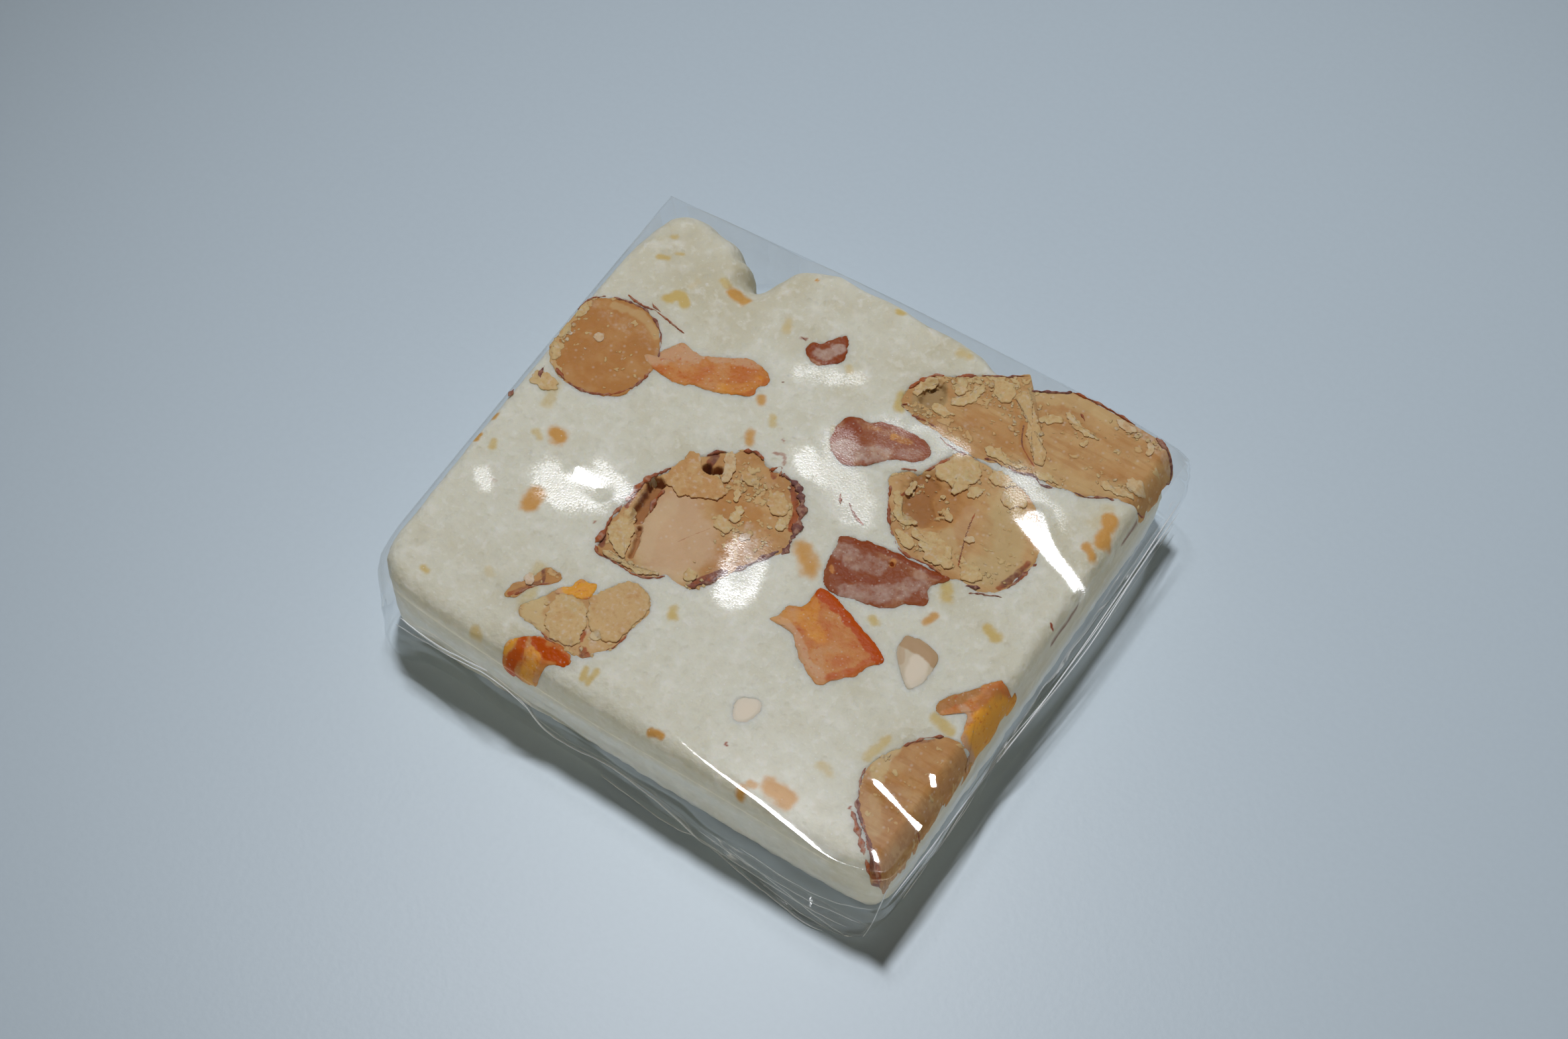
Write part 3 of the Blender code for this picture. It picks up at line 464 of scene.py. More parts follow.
        "rest": -0.2, "hue": 0.62, "seed": 51.0, "fibres": 0.8,
        "marks": (
            ("pale", ((19.2, -13.0), (19.0, -14.6), (19.4, -15.8)), 0.7, 0.8),
            ("toast", ((22.0, -12.2), (23.4, -12.8)), 1.2, 0.5),
            ("hollow", ((21.4, -15.4), (22.0, -17.2)), 1.2, 0.22),
            ("pale", ((25.4, -9.8), (25.6, -13.0), (25.6, -17.0), (25.3, -21.0)), 0.4, 0.7),
            ("pale", ((20.4, -17.6), (21.8, -19.8)), 0.6, 0.4),
            ("stain", ((20.4, -19.8), (22.2, -21.4), (23.8, -22.6)), 0.42, 0.8),
            ("stain", ((20.0, -12.0), (21.4, -10.7)), 0.22, 0.6),
        ),
        "rims": (
            (((22.0, -10.0), (20.9, -10.9), (20.2, -11.8), (19.7, -12.5)), 0.2, 0.35),
            (((18.3, -15.6), (18.5, -16.7), (19.1, -17.9), (19.6, -18.9), (20.6, -19.8), (21.6, -20.6),
              (22.4, -21.3)), 0.22, 0.7),
            (((19.3, -19.3), (20.4, -20.3), (21.8, -21.6), (23.2, -22.7)), 0.3, 0.1),
            (((22.6, -21.2), (23.4, -22.2), (24.2, -23.0)), 0.22, 0.8),
        ),
        "plates": (),
        "crumbs": ((19.0, -13.8, 0.5, 1.4, 8),),
    },
    "almond_chips": {
        "rest": -0.14, "hue": 0.2, "seed": 67.0, "fibres": 0.1,
        "marks": (
            ("pale", ((-11.6, -17.6), (-11.6, -18.8), (-10.4, -19.2)), 0.9, 0.9),
            ("toast", ((-4.6, -14.6), (-4.6, -16.8)), 0.6, 0.6),
            ("toast", ((-8.6, -18.8), (-9.8, -17.4)), 0.9, 0.4),
            ("stain", ((-6.9, -17.9), (-6.8, -18.5)), 0.34, 0.75),
            ("stain", ((-6.1, -19.2), (-5.6, -19.5)), 0.5, 0.8),
            ("stain", ((-10.0, -18.6), (-10.6, -19.4), (-12.0, -19.2)), 0.28, 0.4),
            ("frost", ((-7.0, -17.2), (-5.6, -18.4)), 0.4, 0.6),
        ),
        "rims": (
            (((-3.95, -16.1), (-4.05, -17.2), (-4.6, -18.5)), 0.2, 0.35),
            (((-7.6, -19.9), (-9.0, -19.9), (-10.2, -19.4)), 0.16, 0.2),
        ),
        "plates": (
            (((-7.6, -13.6), (-6.9, -12.4), (-5.8, -11.9), (-4.7, -12.2), (-3.9, -13.0), (-3.7, -13.9), (-4.0, -15.4),
              (-4.1, -16.6), (-4.6, -17.4), (-6.0, -17.6), (-7.2, -16.8), (-7.9, -15.8), (-8.3, -14.8)), -0.05, 0.45),
            (((-10.4, -15.9), (-9.0, -15.6), (-8.0, -16.0), (-7.2, -17.2), (-6.9, -18.2), (-7.0, -19.4),
              (-8.4, -19.7), (-9.8, -19.1), (-10.4, -18.0), (-10.6, -16.8)), -0.05, 0.35),
            (((-6.4, -17.2), (-5.8, -17.1), (-5.5, -17.6), (-6.1, -17.9)), -0.03, -0.3),
        ),
        "crumbs": ((-9.8, -16.4, 1.4, 1.2, 14), (-7.2, -19.2, 2.0, 0.4, 12)),
    },
    "almond_sliver": {
        "rest": -0.12, "hue": 0.7, "seed": 71.0, "fibres": 0.1,
        "marks": (
            ("stain", ((-12.9, -14.9), (-12.4, -15.8), (-13.2, -17.0), (-13.9, -18.2)), 0.26, 0.7),
            ("stain", ((-11.6, -14.6), (-12.6, -14.8)), 0.22, 0.5),
        ),
        "rims": (
            (((-11.6, -15.4), (-12.4, -16.2), (-13.0, -17.0), (-13.6, -18.2)), 0.12, 0.3),
        ),
        "plates": (
            (((-13.7, -15.8), (-13.2, -15.7), (-12.9, -16.2), (-13.1, -16.7), (-13.6, -16.6)), -0.04, -0.7),
        ),
        "crumbs": ((-12.6, -16.0, 0.6, 0.9, 5),),
    },
}

PEELS = {
    "peel_strip": {
        "rest": -0.05, "dark": False, "seed": 5.0,
        "marks": (
            ("pale", ((-17.8, 6.4), (-16.6, 7.2), (-15.4, 8.4), (-14.2, 9.0)), 0.95, 1.0),
            ("pale", ((-13.0, 9.4), (-11.0, 10.3), (-9.4, 10.8)), 0.5, 0.7),
            ("orange", ((-15.0, 6.1), (-14.2, 6.1), (-13.4, 6.2)), 0.4, 0.9),
            ("orange", ((-9.7, 8.1), (-8.9, 8.8), (-9.0, 9.8)), 0.6, 0.6),
            ("amber", ((-8.4, 9.6), (-9.0, 8.2), (-10.6, 7.4)), 0.6, 0.5),
            ("sugar", ((-14.6, 8.0), (-12.6, 8.4), (-11.6, 9.4)), 0.8, 0.25),
        ),
    },
    "peel_chip": {
        "rest": -0.08, "dark": True, "seed": 9.0,
        "marks": (
            ("sugar", ((-4.6, 15.9), (-5.0, 15.1), (-5.6, 14.7)), 0.7, 0.75),
            ("deep", ((-4.7, 17.0), (-3.8, 15.6), (-4.6, 14.3), (-6.4, 14.4), (-6.2, 15.4)), 0.34, 0.8),
        ),
    },
    "peel_glazed": {
        "rest": -0.08, "dark": True, "seed": 15.0,
        "marks": (
            ("deep", ((0.1, 10.4), (1.0, 10.0), (0.4, 9.4)), 0.6, 0.9),
            ("amber", ((0.4, 9.8), (1.2, 10.6), (2.6, 11.2)), 0.3, 0.3),
            ("amber", ((4.0, 11.2), (5.4, 11.4)), 0.4, 0.5),
            ("sugar", ((1.0, 8.0), (2.6, 8.4), (4.0, 9.2)), 1.0, 0.62),
            ("brown", ((0.4, 8.8), (1.8, 9.6), (3.4, 10.2)), 0.6, 0.2),
            ("deep", ((2.4, 12.0), (5.4, 12.0), (6.8, 11.4)), 0.3, 0.6),
            ("sugar", ((5.4, 10.2), (6.4, 10.8)), 0.6, 0.4),
        ),
    },
    "peel_frosted": {
        "rest": -0.06, "dark": True, "seed": 21.0,
        "marks": (
            ("sugar", ((6.0, -0.2), (7.6, -0.4), (9.6, 0.2)), 0.9, 0.55),
            ("sugar", ((8.6, -3.2), (11.4, -1.6), (12.6, -0.2)), 1.0, 0.6),
            ("sugar", ((12.8, 1.2), (14.0, 0.2)), 0.8, 0.5),
            ("deep", ((6.4, 1.0), (9.0, 1.6), (12.0, 1.9), (14.2, 2.0)), 0.4, 0.9),
            ("deep", ((7.0, -1.6), (8.4, -2.4), (9.8, -1.8)), 0.8, 0.8),
            ("orange", ((8.6, -2.6), (9.6, -2.0)), 0.45, 0.7),
            ("orange", ((6.4, -2.0), (6.7, -2.3)), 0.25, 0.8),
            ("orange", ((10.2, 1.2), (10.3, 0.8)), 0.25, 0.9),
            ("pit", ((10.25, 0.9), (10.3, 0.85)), 0.16, 1.5),
        ),
    },
    "peel_orange": {
        "rest": -0.04, "dark": False, "seed": 31.0,
        "marks": (
            ("deep", ((7.0, -4.5), (9.0, -4.8), (11.4, -5.7), (14.1, -7.0)), 0.55, 1.3),
            ("deep", ((13.6, -7.4), (13.0, -9.0), (11.6, -10.6)), 0.45, 0.6),
            ("amber", ((6.8, -5.6), (7.4, -7.0), (9.0, -8.0)), 0.9, 0.5),
            ("deep", ((9.4, -6.6), (11.6, -8.4)), 0.9, 0.25),
            ("amber", ((5.2, -8.2), (6.4, -7.4)), 0.7, 0.4),
            ("pale", ((5.0, -8.4), (6.2, -8.4), (7.8, -9.2), (9.6, -10.6)), 0.45, 0.8),
            ("pale", ((10.2, -10.6), (11.2, -11.0)), 0.5, 0.6),
        ),
    },
    "peel_amber": {
        "rest": -0.12, "dark": False, "seed": 41.0,
        "marks": (
            ("amber", ((25.4, -3.4), (24.4, -5.6), (24.2, -8.0)), 1.3, 1.1),
            ("brown", ((23.2, -4.4), (23.0, -6.0)), 0.6, 0.6),
            ("deep", ((24.2, -3.4), (24.8, -4.6)), 0.4, 0.35),
            ("brown", ((20.2, -7.9), (21.0, -6.4), (21.8, -5.4)), 0.7, 1.0),
            ("pale", ((21.8, -7.0), (22.8, -7.6)), 0.4, 0.8),
            ("brown", ((25.8, -5.0), (25.8, -8.6)), 0.4, 0.5),
            ("pale", ((24.2, -8.6), (24.4, -10.2)), 1.1, 1.0),
        ),
    },
    "peel_front": {
        "rest": -0.1, "dark": False, "seed": 47.0,
        "marks": (
            ("deep", ((-9.6, -20.6), (-8.4, -20.9), (-7.4, -20.7), (-6.8, -20.9)), 0.6, 1.1),
            ("deep", ((-10.8, -21.0), (-10.5, -21.8), (-10.8, -22.6)), 0.5, 0.8),
            ("amber", ((-9.4, -21.6), (-9.0, -22.4), (-9.6, -23.2)), 0.8, 0.7),
            ("sugar", ((-9.6, -21.4), (-8.8, -22.6)), 0.8, 0.35),
            ("amber", ((-11.4, -20.9), (-11.6, -22.0)), 0.5, 0.8),
            ("pale", ((-10.1, -20.3), (-9.9, -20.9)), 0.35, 0.5),
            ("sugar", ((-11.7, -21.0), (-11.7, -21.8)), 0.25, 0.5),
        ),
    },
    "peel_crumb": {
        "rest": -0.08, "dark": False, "seed": 49.0,
        "marks": (
            ("amber", ((-8.7, -14.2), (-9.2, -14.8), (-10.0, -15.0)), 0.8, 1.3),
            ("pale", ((-10.4, -15.6), (-10.9, -15.9)), 0.4, 0.9),
        ),
    },
}

NUTS = {
    "nut_beige": {
        "rest": -0.05, "seed": 53.0,
        "marks": (("toast", ((14.9, -4.4), (16.6, -4.2), (18.0, -4.5)), 0.9, 1.0),
                  ("toast", ((14.9, -5.0), (15.6, -6.2)), 0.4, 0.5),
                  ("bare", ((16.8, -5.6), (17.4, -7.0)), 0.9, 1.0)),
    },
    "nut_pale": {
        "rest": -0.1, "seed": 59.0,
        "marks": (("bare", ((7.7, -16.0), (7.7, -17.2)), 1.3, 1.0),),
    },
}

# Threads of skin that lie loose on the nougat: (points, width, how purple).
THREADS = (
    (((3.2, 4.3), (3.35, 3.9), (3.75, 3.4)), 0.15, 0.4),
    (((4.2, 3.9), (4.7, 3.5), (5.3, 3.1), (6.4, 2.7)), 0.17, 0.7),
    (((-25.0, -2.0), (-24.9, -2.9)), 0.4, 0.5),
    (((-7.9, 15.3), (-7.2, 15.2)), 0.16, 0.3),
    (((24.2, -17.4), (24.6, -17.6)), 0.1, 0.5),
)

# ---------------------------------------------------------------- the film's bright places, in mm
# Blobs: (points of the middle line, half width at its start, at its end, fade right of it, left of it).
GLINTS = (
    (((-16.0, -5.7), (-14.8, -5.95), (-13.4, -6.15)), 0.1, 0.02, 1.3, 1.3),
    (((17.8, 10.7), (19.6, 9.3), (21.0, 8.5), (22.5, 7.8), (23.8, 6.9)), 0.75, 0.05, 1.2, 0.9),
    (((19.7, -16.5), (21.6, -17.0), (24.8, -17.55)), 0.0, 0.0, 0.7, 0.35),
    (((23.2, -13.4), (23.45, -14.3)), 0.02, 0.0, 0.6, 0.6),
    (((22.8, -21.4), (23.3, -22.1)), 0.0, 0.02, 0.45, 0.45),
    (((24.2, -22.9), (24.4, -23.0)), 0.02, 0.02, 0.35, 0.35),
)
# Where the film lies tight on the nougat and scatters the light: (points, half width, strength).
CLING = (
    (((0.6, 8.2), (1.6, 6.4), (3.4, 5.0), (5.2, 3.8)), 1.5, 1.3),
    (((-1.0, 5.4), (1.0, 5.0)), 1.2, 1.3),
    (((5.4, 12.8), (7.0, 13.3), (9.2, 13.2)), 0.8, 1.4),
    (((3.6, 11.2), (5.4, 11.0), (6.6, 12.2)), 1.5, 1.7),
    (((0.0, -4.6), (0.8, -6.6), (1.6, -8.8)), 1.5, 1.3),
    (((-17.6, -7.4), (-15.6, -8.0), (-13.8, -7.0)), 1.7, 1.2),
    (((-14.6, -5.0), (-12.0, -5.4)), 1.2, 1.2),
    (((-22.4, -10.2), (-21.4, -10.8)), 0.7, 1.3),
    (((-5.8, 12.4), (-3.4, 13.4), (-1.4, 14.2)), 1.0, 1.0),
    (((15.0, 13.2), (17.0, 11.6), (18.6, 11.0)), 1.6, 1.3),
    (((17.0, 11.0), (19.6, 9.1), (22.0, 7.9), (24.0, 6.8)), 1.3, 0.6),
)
# Where the film hides its gloss: (points of a line, half width in mm, share of the gloss taken).
DULL = (
    (((3.2, -3.6), (4.0, -8.0), (2.6, -10.8), (0.0, -11.0)), 1.7, 0.97),
    (((0.2, -4.6), (0.8, -6.6)), 1.6, 0.55),
    (((-2.4, -1.0), (-0.4, -2.0), (0.6, -3.4)), 2.0, 0.8),
    (((3.2, 10.4), (5.0, 10.2), (6.6, 11.6)), 2.2, 0.85),
    (((0.6, 8.2), (1.6, 6.4), (3.4, 5.0), (5.2, 3.8)), 2.2, 0.45),
    (((-7.4, -6.2), (-5.4, -7.8), (-4.0, -8.8)), 1.2, 0.7),
    (((19.6, -15.6), (21.6, -15.0), (24.6, -14.8)), 0.75, 0.82),
    (((21.9, -4.0), (22.4, -7.4), (22.9, -11.0), (23.2, -12.6)), 0.8, 0.3),
    (((-14.0, -15.6), (-6.0, -18.0), (0.0, -19.3), (4.0, -20.4)), 2.0, 0.96),
    (((4.6, -20.8), (6.4, -21.5)), 1.6, 0.93),
    (((6.4, -21.5), (10.0, -22.3)), 0.9, 0.8),
    (((21.0, -23.8), (22.4, -23.5), (23.2, -23.2)), 0.9, 0.97),
)

# ---------------------------------------------------------------- small tools


def seen(red, green, blue, level=THROUGH_FILM):
    """The surface colour that shows as this screen colour, 0 to 255, under the stage's light."""
    values = np.array([red, green, blue]) / 255
    linear = np.where(values <= 0.04045, values / 12.92, ((values + 0.055) / 1.055) ** 2.4)
    return tuple(float(value) for value in np.minimum(linear / level, 0.95))


def smooth_step(values, low, high):
    share = np.clip((values - low) / (high - low), 0, 1)
    return share * share * (3 - 2 * share)


def ripple(points, size, octaves=1, seed=0.0):
    """Smooth noise of about -1 to 1 at each point, with bumps about size mm apart."""
    depth = points[:, 2] if points.shape[1] > 2 else np.zeros(len(points))
    return np.array(
        [
            noise.fractal((x / size + seed, y / size - seed, z / size), 0.9, 2.0, octaves)
            for x, y, z in zip(points[:, 0], points[:, 1], depth)
        ]
    )


def line_distance(points, line, closed=False):
    """(distance, index of the nearest span, share along it, nearest points) to a line."""
    line = np.array(line, float)[:, :2]
    ends = np.roll(line, -1, axis=0) if closed else line[1:]
    starts = line if closed else line[:-1]
    flat = points[:, :2]
    best = np.full(len(flat), 1e9)
    index = np.zeros(len(flat), int)
    share = np.zeros(len(flat))
    for number, (start, end) in enumerate(zip(starts, ends)):
        along = end - start
        length = max(float(along @ along), 1e-12)
        part = np.clip((flat - start) @ along / length, 0, 1)
        gap = np.linalg.norm(flat - start - part[:, None] * along, axis=1)
        nearer = gap < best
        best[nearer], index[nearer], share[nearer] = gap[nearer], number, part[nearer]
    nearest = starts[index] + (ends - starts)[index] * share[:, None]
    return best, index, share, nearest


def inside_depth(points, outline):
    """Distance to a closed outline, positive inside it."""
    distance = line_distance(points, outline, closed=True)[0]
    x, y = points[:, 0], points[:, 1]
    within = np.zeros(len(points), bool)
    for (ax, ay), (bx, by) in zip(outline, np.roll(outline, -1, axis=0)):
        if ay != by:
            crossing = (ay > y) != (by > y)
            within ^= crossing & (x < (bx - ax) * (y - ay) / (by - ay) + ax)
    return np.where(within, distance, -distance)


def smooth_line(points, spans=6, closed=False):
    """A Catmull-Rom curve through the points."""
    points = np.array(points, float)
    count = len(points)
    curve = []
    for index in range(count if closed else count - 1):
        picks = [index - 1, index, index + 1, index + 2]
        picks = [p % count if closed else min(max(p, 0), count - 1) for p in picks]
        a, b, c, d = points[picks]
        for step in range(spans):
            t = step / spans
            curve.append(0.5 * (2 * b + (c - a) * t + (2 * a - 5 * b + 4 * c - d) * t**2
                                + (3 * b - a - 3 * c + d) * t**3))
    if not closed:
        curve.append(points[-1])
    return np.array(curve)


def at_shares(line, shares):
    """Points at the given shares of a line's length."""
    steps = np.linalg.norm(np.diff(line, axis=0), axis=1)
    travelled = np.concatenate([[0], np.cumsum(steps)]) / steps.sum()
    return np.stack([np.interp(shares, travelled, line[:, axis]) for axis in range(line.shape[1])], 1)


def spread_over(sides, u, v):
    """Points spread between four sides (front, right, back, left), for shares u across and v back."""
    front, right, back, left = sides
    low, high = at_shares(front, u), at_shares(back, 1 - u)
    near, far = at_shares(left, 1 - v), at_shares(right, v)
    u, v = u[:, None], v[:, None]
    corners = ((1 - u) * (1 - v) * front[0] + u * (1 - v) * right[0]
               + u * v * back[0] + (1 - u) * v * left[0])
    return (1 - v) * low + v * high + (1 - u) * near + u * far - corners


def points_of(shape):
    return np.array([vert.co[:] for vert in shape.verts])


def set_points(shape, points):
    for vert, point in zip(shape.verts, points):
        vert.co = point


def half_slope(points):
    """The slope (dz/dx, dz/dy) that mirrors the key light into the camera at each (x, y)."""
    places = np.column_stack([points[:, 0], points[:, 1], np.full(len(points), FILM_TOP)])
    eye, key = CAMERA_PLACE - places, KEY_PLACE - places
    middle = eye / np.linalg.norm(eye, axis=1)[:, None] + key / np.linalg.norm(key, axis=1)[:, None]
    return -middle[:, :2] / middle[:, 2:]


def quarter_drop(depth, radius):
    """How far a rounded edge lies below its flat, a given way in from the border."""
    reach = np.clip(radius - depth, 0, radius)
    return radius - np.sqrt(np.maximum(radius**2 - reach**2, 0))


def marks_strength(points, marks, layer, ragged, seed=0.0, soft=0.75):
    """The strongest mark of a layer at each point, with ragged edges of the given size."""
    total = np.zeros(len(points))
    chosen = [mark for mark in marks if mark[0] == layer]
    if not chosen:
        return total
    wander = (ripple(points[:, :2], 0.9, 3, seed) + 0.5 * ripple(points[:, :2], 2.2, 1, seed + 7)) * ragged
    for _, line, width, strength in chosen:
        curve = smooth_line(line, 4) if len(line) > 2 else line
        distance = line_distance(points, curve)[0] + wander * min(width / 0.6, 1.3)
        total = np.maximum(total, strength * (1 - smooth_step(distance, width * (1.3 - soft), width * 1.3)))
    return total


# ---------------------------------------------------------------- film and slab surfaces

FILM_SIDES = [smooth_line(side) for side in FILM_LINES]
FILM_OUTLINE = np.concatenate([side[:-1] for side in FILM_SIDES])
SLAB_CURVES = [smooth_line(side) for side in SLAB_SIDES]
SLAB_OUTLINE = np.concatenate([side[:-1] for side in SLAB_CURVES])


def film_roof(points):
    """The height of the film's smooth top at each (x, y)."""
    x, y = points[:, 0], points[:, 1]
    depth = np.maximum(inside_depth(points, FILM_OUTLINE), 0)
    to_left = smooth_step(-y, 17, 22) * smooth_step(-x, 4, 18)
    radius = 0.3 + 0.9 * to_left + 0.3 * smooth_step(np.abs(x), 20, 24) * (1 - smooth_step(y, 16, 20))
    crease = smooth_line(FRONT_CREASE)
    start = np.interp(x, crease[:, 0], crease[:, 1])
    beyond = np.maximum(start - y, 0)
    # The crease is sharp at its ends and softest at its bright stretch.
    bow = np.interp(x, (-6.0, 2.0, 7.0, 11.0, 15.0, 18.0, 20.5), (1.0, 1.0, 0.6, 0.32, 0.2, 0.26, 0.8))
    reach = 0.105 / bow
    bend = np.where(beyond < reach, bow * beyond**2, bow * reach**2 + 0.21 * (beyond - reach))
    before = np.clip(y - start, 0, 9)
    bend = bend + 0.012 * (before - 0.5 * before**2 / 9) * smooth_step(x, -4, 6)
    crown = 0.06 * (1 - ((x / 25) ** 2 + (y / 23) ** 2) / 2)
    return FILM_TOP - 0.06 + crown - quarter_drop(depth, radius) - bend


def closed_curve(points, spacing=0.14):
    """A smooth closed outline through the points, evenly spaced and anticlockwise."""
    curve = smooth_line(points, 8, closed=True)
    area = np.sum(curve[:, 0] * np.roll(curve[:, 1], -1) - curve[:, 1] * np.roll(curve[:, 0], -1))
    curve = np.concatenate([curve, curve[:1]])[:: 1 if area > 0 else -1]
    length = np.linalg.norm(np.diff(curve, axis=0), axis=1).sum()
    return at_shares(curve, np.linspace(0, 1, max(int(length / spacing), 12), endpoint=False))


# The pieces stay behind the slant of the key light at the shaded edges.
PIECES_LOW, PIECES_HIGH = (-26.0, -22.8), (24.4, 24.0)
OUTLINES = {name: np.clip(closed_curve(points), PIECES_LOW, PIECES_HIGH) for name, points in INLAYS.items()}


# ---------------------------------------------------------------- building meshes


def border_loop(shape):
    """The mesh's open border as an ordered list of its points."""
    edges = {edge for edge in shape.edges if edge.is_boundary}
    first = next(iter(sorted(edges, key=lambda edge: edge.index)))
    loop = [first.verts[0], first.verts[1]]
    edges.discard(first)
    while edges:
        step = next((edge for edge in loop[-1].link_edges if edge in edges), None)
        if step is None:
            break
        edges.discard(step)
        loop.append(step.other_vert(loop[-1]))
    return loop[:-1] if loop[-1] == loop[0] else loop


def add_skirt(shape, places):
    """Extrude the open border once for each set of places, then close it with a flat face."""
    loop = border_loop(shape)
    order = np.array([vert.co[:] for vert in loop])
    area = np.sum(order[:, 0] * np.roll(order[:, 1], -1) - order[:, 1] * np.roll(order[:, 0], -1))
    if area < 0:
        loop.reverse()
        order = order[::-1]
    edges = [edge for edge in shape.edges if edge.is_boundary]
    for place in places:
        new = bmesh.ops.extrude_edge_only(shape, edges=edges)["geom"]
        fresh = {item for item in new if isinstance(item, bmesh.types.BMVert)}
        loop = [next(e.other_vert(v) for e in v.link_edges if e.other_vert(v) in fresh) for v in loop]
        for vert, point in zip(loop, place(order)):
            vert.co = point
        edges = [i for i in new if isinstance(i, bmesh.types.BMEdge) and all(v in fresh for v in i.verts)]
    bmesh.ops.contextual_create(shape, geom=edges)


def outward(order):
    """The level direction out of an anticlockwise loop at each of its points."""
    along = np.roll(order, -1, axis=0)[:, :2] - np.roll(order, 1, axis=0)[:, :2]
    along /= np.maximum(np.linalg.norm(along, axis=1), 1e-9)[:, None]
    return np.column_stack([along[:, 1], -along[:, 0]])


def sheet_over(sides, cells_x, cells_y):
    """A grid spread over four sides: (the bmesh, its points)."""
    shape = bmesh.new()
    bmesh.ops.create_grid(shape, x_segments=cells_x, y_segments=cells_y, size=1.0)
    start = points_of(shape)
    return shape, spread_over(sides, (start[:, 0] + 1) / 2, (start[:, 1] + 1) / 2)


def pad_over(outline, cells):
    """A square grid eased onto a closed outline: (the bmesh, its points, share out from the middle)."""
    shape = bmesh.new()
    bmesh.ops.create_grid(shape, x_segments=cells, y_segments=cells, size=1.0)
    start = points_of(shape)
    x, y = start[:, 0], start[:, 1]
    wide = np.abs(x) >= np.abs(y)
    share = np.where(wide, np.abs(x), np.abs(y))
    safe_x, safe_y = np.where(np.abs(x) < 1e-9, 1e-9, x), np.where(np.abs(y) < 1e-9, 1e-9, y)
    angle = np.where(wide, math.pi / 4 * y / safe_x, math.pi / 2 - math.pi / 4 * x / safe_y)
    angle = np.where((wide & (x < 0)) | (~wide & (y < 0)), angle + math.pi, angle)
    turn = (angle / (2 * math.pi)) % 1.0
    closed = np.concatenate([outline, outline[:1]])
    centre = outline.mean(axis=0)
    # Start the outline at the point due east of its centre, so that the grid isn't twisted.
    bearings = np.unwrap(np.arctan2(outline[:, 1] - centre[1], outline[:, 0] - centre[0]))
    first = int(np.argmin(np.abs((bearings + math.pi) % (2 * math.pi) - math.pi)))
    closed = np.roll(outline, -first, axis=0)
    closed = np.concatenate([closed, closed[:1]])
    rim = at_shares(closed, turn)
    return shape, centre + (rim - centre) * share[:, None], share


def add_piece(name, shape, material, nodes, layers=None):
    """Finish a bmesh in mm as a named piece of the object."""
    bmesh.ops.recalc_face_normals(shape, faces=shape.faces)
    bmesh.ops.scale(shape, vec=(MM, MM, MM), verts=shape.verts)
    mesh = bpy.data.meshes.new(name)
    shape.to_mesh(mesh)
    shape.free()
    for layer, values in (layers or {}).items():
        attribute = mesh.attributes.new(layer, "FLOAT", "POINT")
        attribute.data.foreach_set("value", np.ascontiguousarray(values, np.float32))
    mesh.shade_smooth()
    mesh.materials.append(material)
    piece = bpy.data.objects.new(name, mesh)
    bpy.context.scene.collection.objects.link(piece)
    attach(piece, "root")
    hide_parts(*nodes)
    return piece


def add_ribbon(shape, line, width, height, level, around=8, wander=0.0, seed=0.0):
    """A flattened, pointed strand along a line, closed all round. level gives its middle's height."""
    curve = smooth_line(line, 5)
    length = np.linalg.norm(np.diff(curve, axis=0), axis=1).sum()
    count = max(int(length / 0.1), 8)
    shares = np.linspace(0, 1, count + 1)
    middle = at_shares(curve, shares)
    sway = ripple(np.column_stack([middle, np.zeros(len(middle))]), 0.6, 2, seed)
    swell = ripple(np.column_stack([middle, np.full(len(middle), 4.0)]), 0.8, 3, seed + 5)
    along = np.gradient(middle, axis=0)
    along /= np.maximum(np.linalg.norm(along, axis=1), 1e-9)[:, None]
    side = np.column_stack([-along[:, 1], along[:, 0]])
    middle = middle + side * (sway * wander)[:, None]
    ends = np.minimum(1, np.minimum(shares, 1 - shares) * length / 0.35) ** 0.5
    spread = width / 2 * ends * np.clip(1 + 1.7 * swell, 0.08, 2.2)
    rise = height / 2 * ends
    new = bmesh.ops.create_grid(shape, x_segments=count, y_segments=around, size=1.0)["verts"]
    heights = level(middle)
    for vert in new:
        step = int(round((vert.co.x + 1) / 2 * count))
        turn = (vert.co.y + 1) * math.pi
        offset = side[step] * spread[step] * math.cos(turn)
        vert.co = (
            middle[step, 0] + offset[0],
            middle[step, 1] + offset[1],
            heights[step] + rise[step] * math.sin(turn) + 0.09 * swell[step],
        )
    bmesh.ops.remove_doubles(shape, verts=new, dist=1e-4)


def add_chip(shape, centre, long, wide, thick, heading, tilt, dice):
    """A small torn flake, closed, lying at a heading and a tilt."""
    new = bmesh.ops.create_icosphere(shape, subdivisions=2, radius=1.0)["verts"]
    offset = dice.uniform(0, 90)
    turn, lean = Vector((math.cos(heading), math.sin(heading))), math.tan(tilt)
    for vert in new:
        wobble = 1 + 0.55 * noise.noise(vert.co * 1.6 + Vector((offset, 0, 0)))
        x, y = vert.co.x * long / 2 * wobble, vert.co.y * wide / 2 * wobble
        z = vert.co.z * thick / 2 + x * lean + 0.25 * x * x / max(long, 0.1) * math.cos(offset)
        vert.co = (centre[0] + x * turn.x - y * turn.y, centre[1] + x * turn.y + y * turn.x, centre[2] + z)


# ---------------------------------------------------------------- node groups and materials


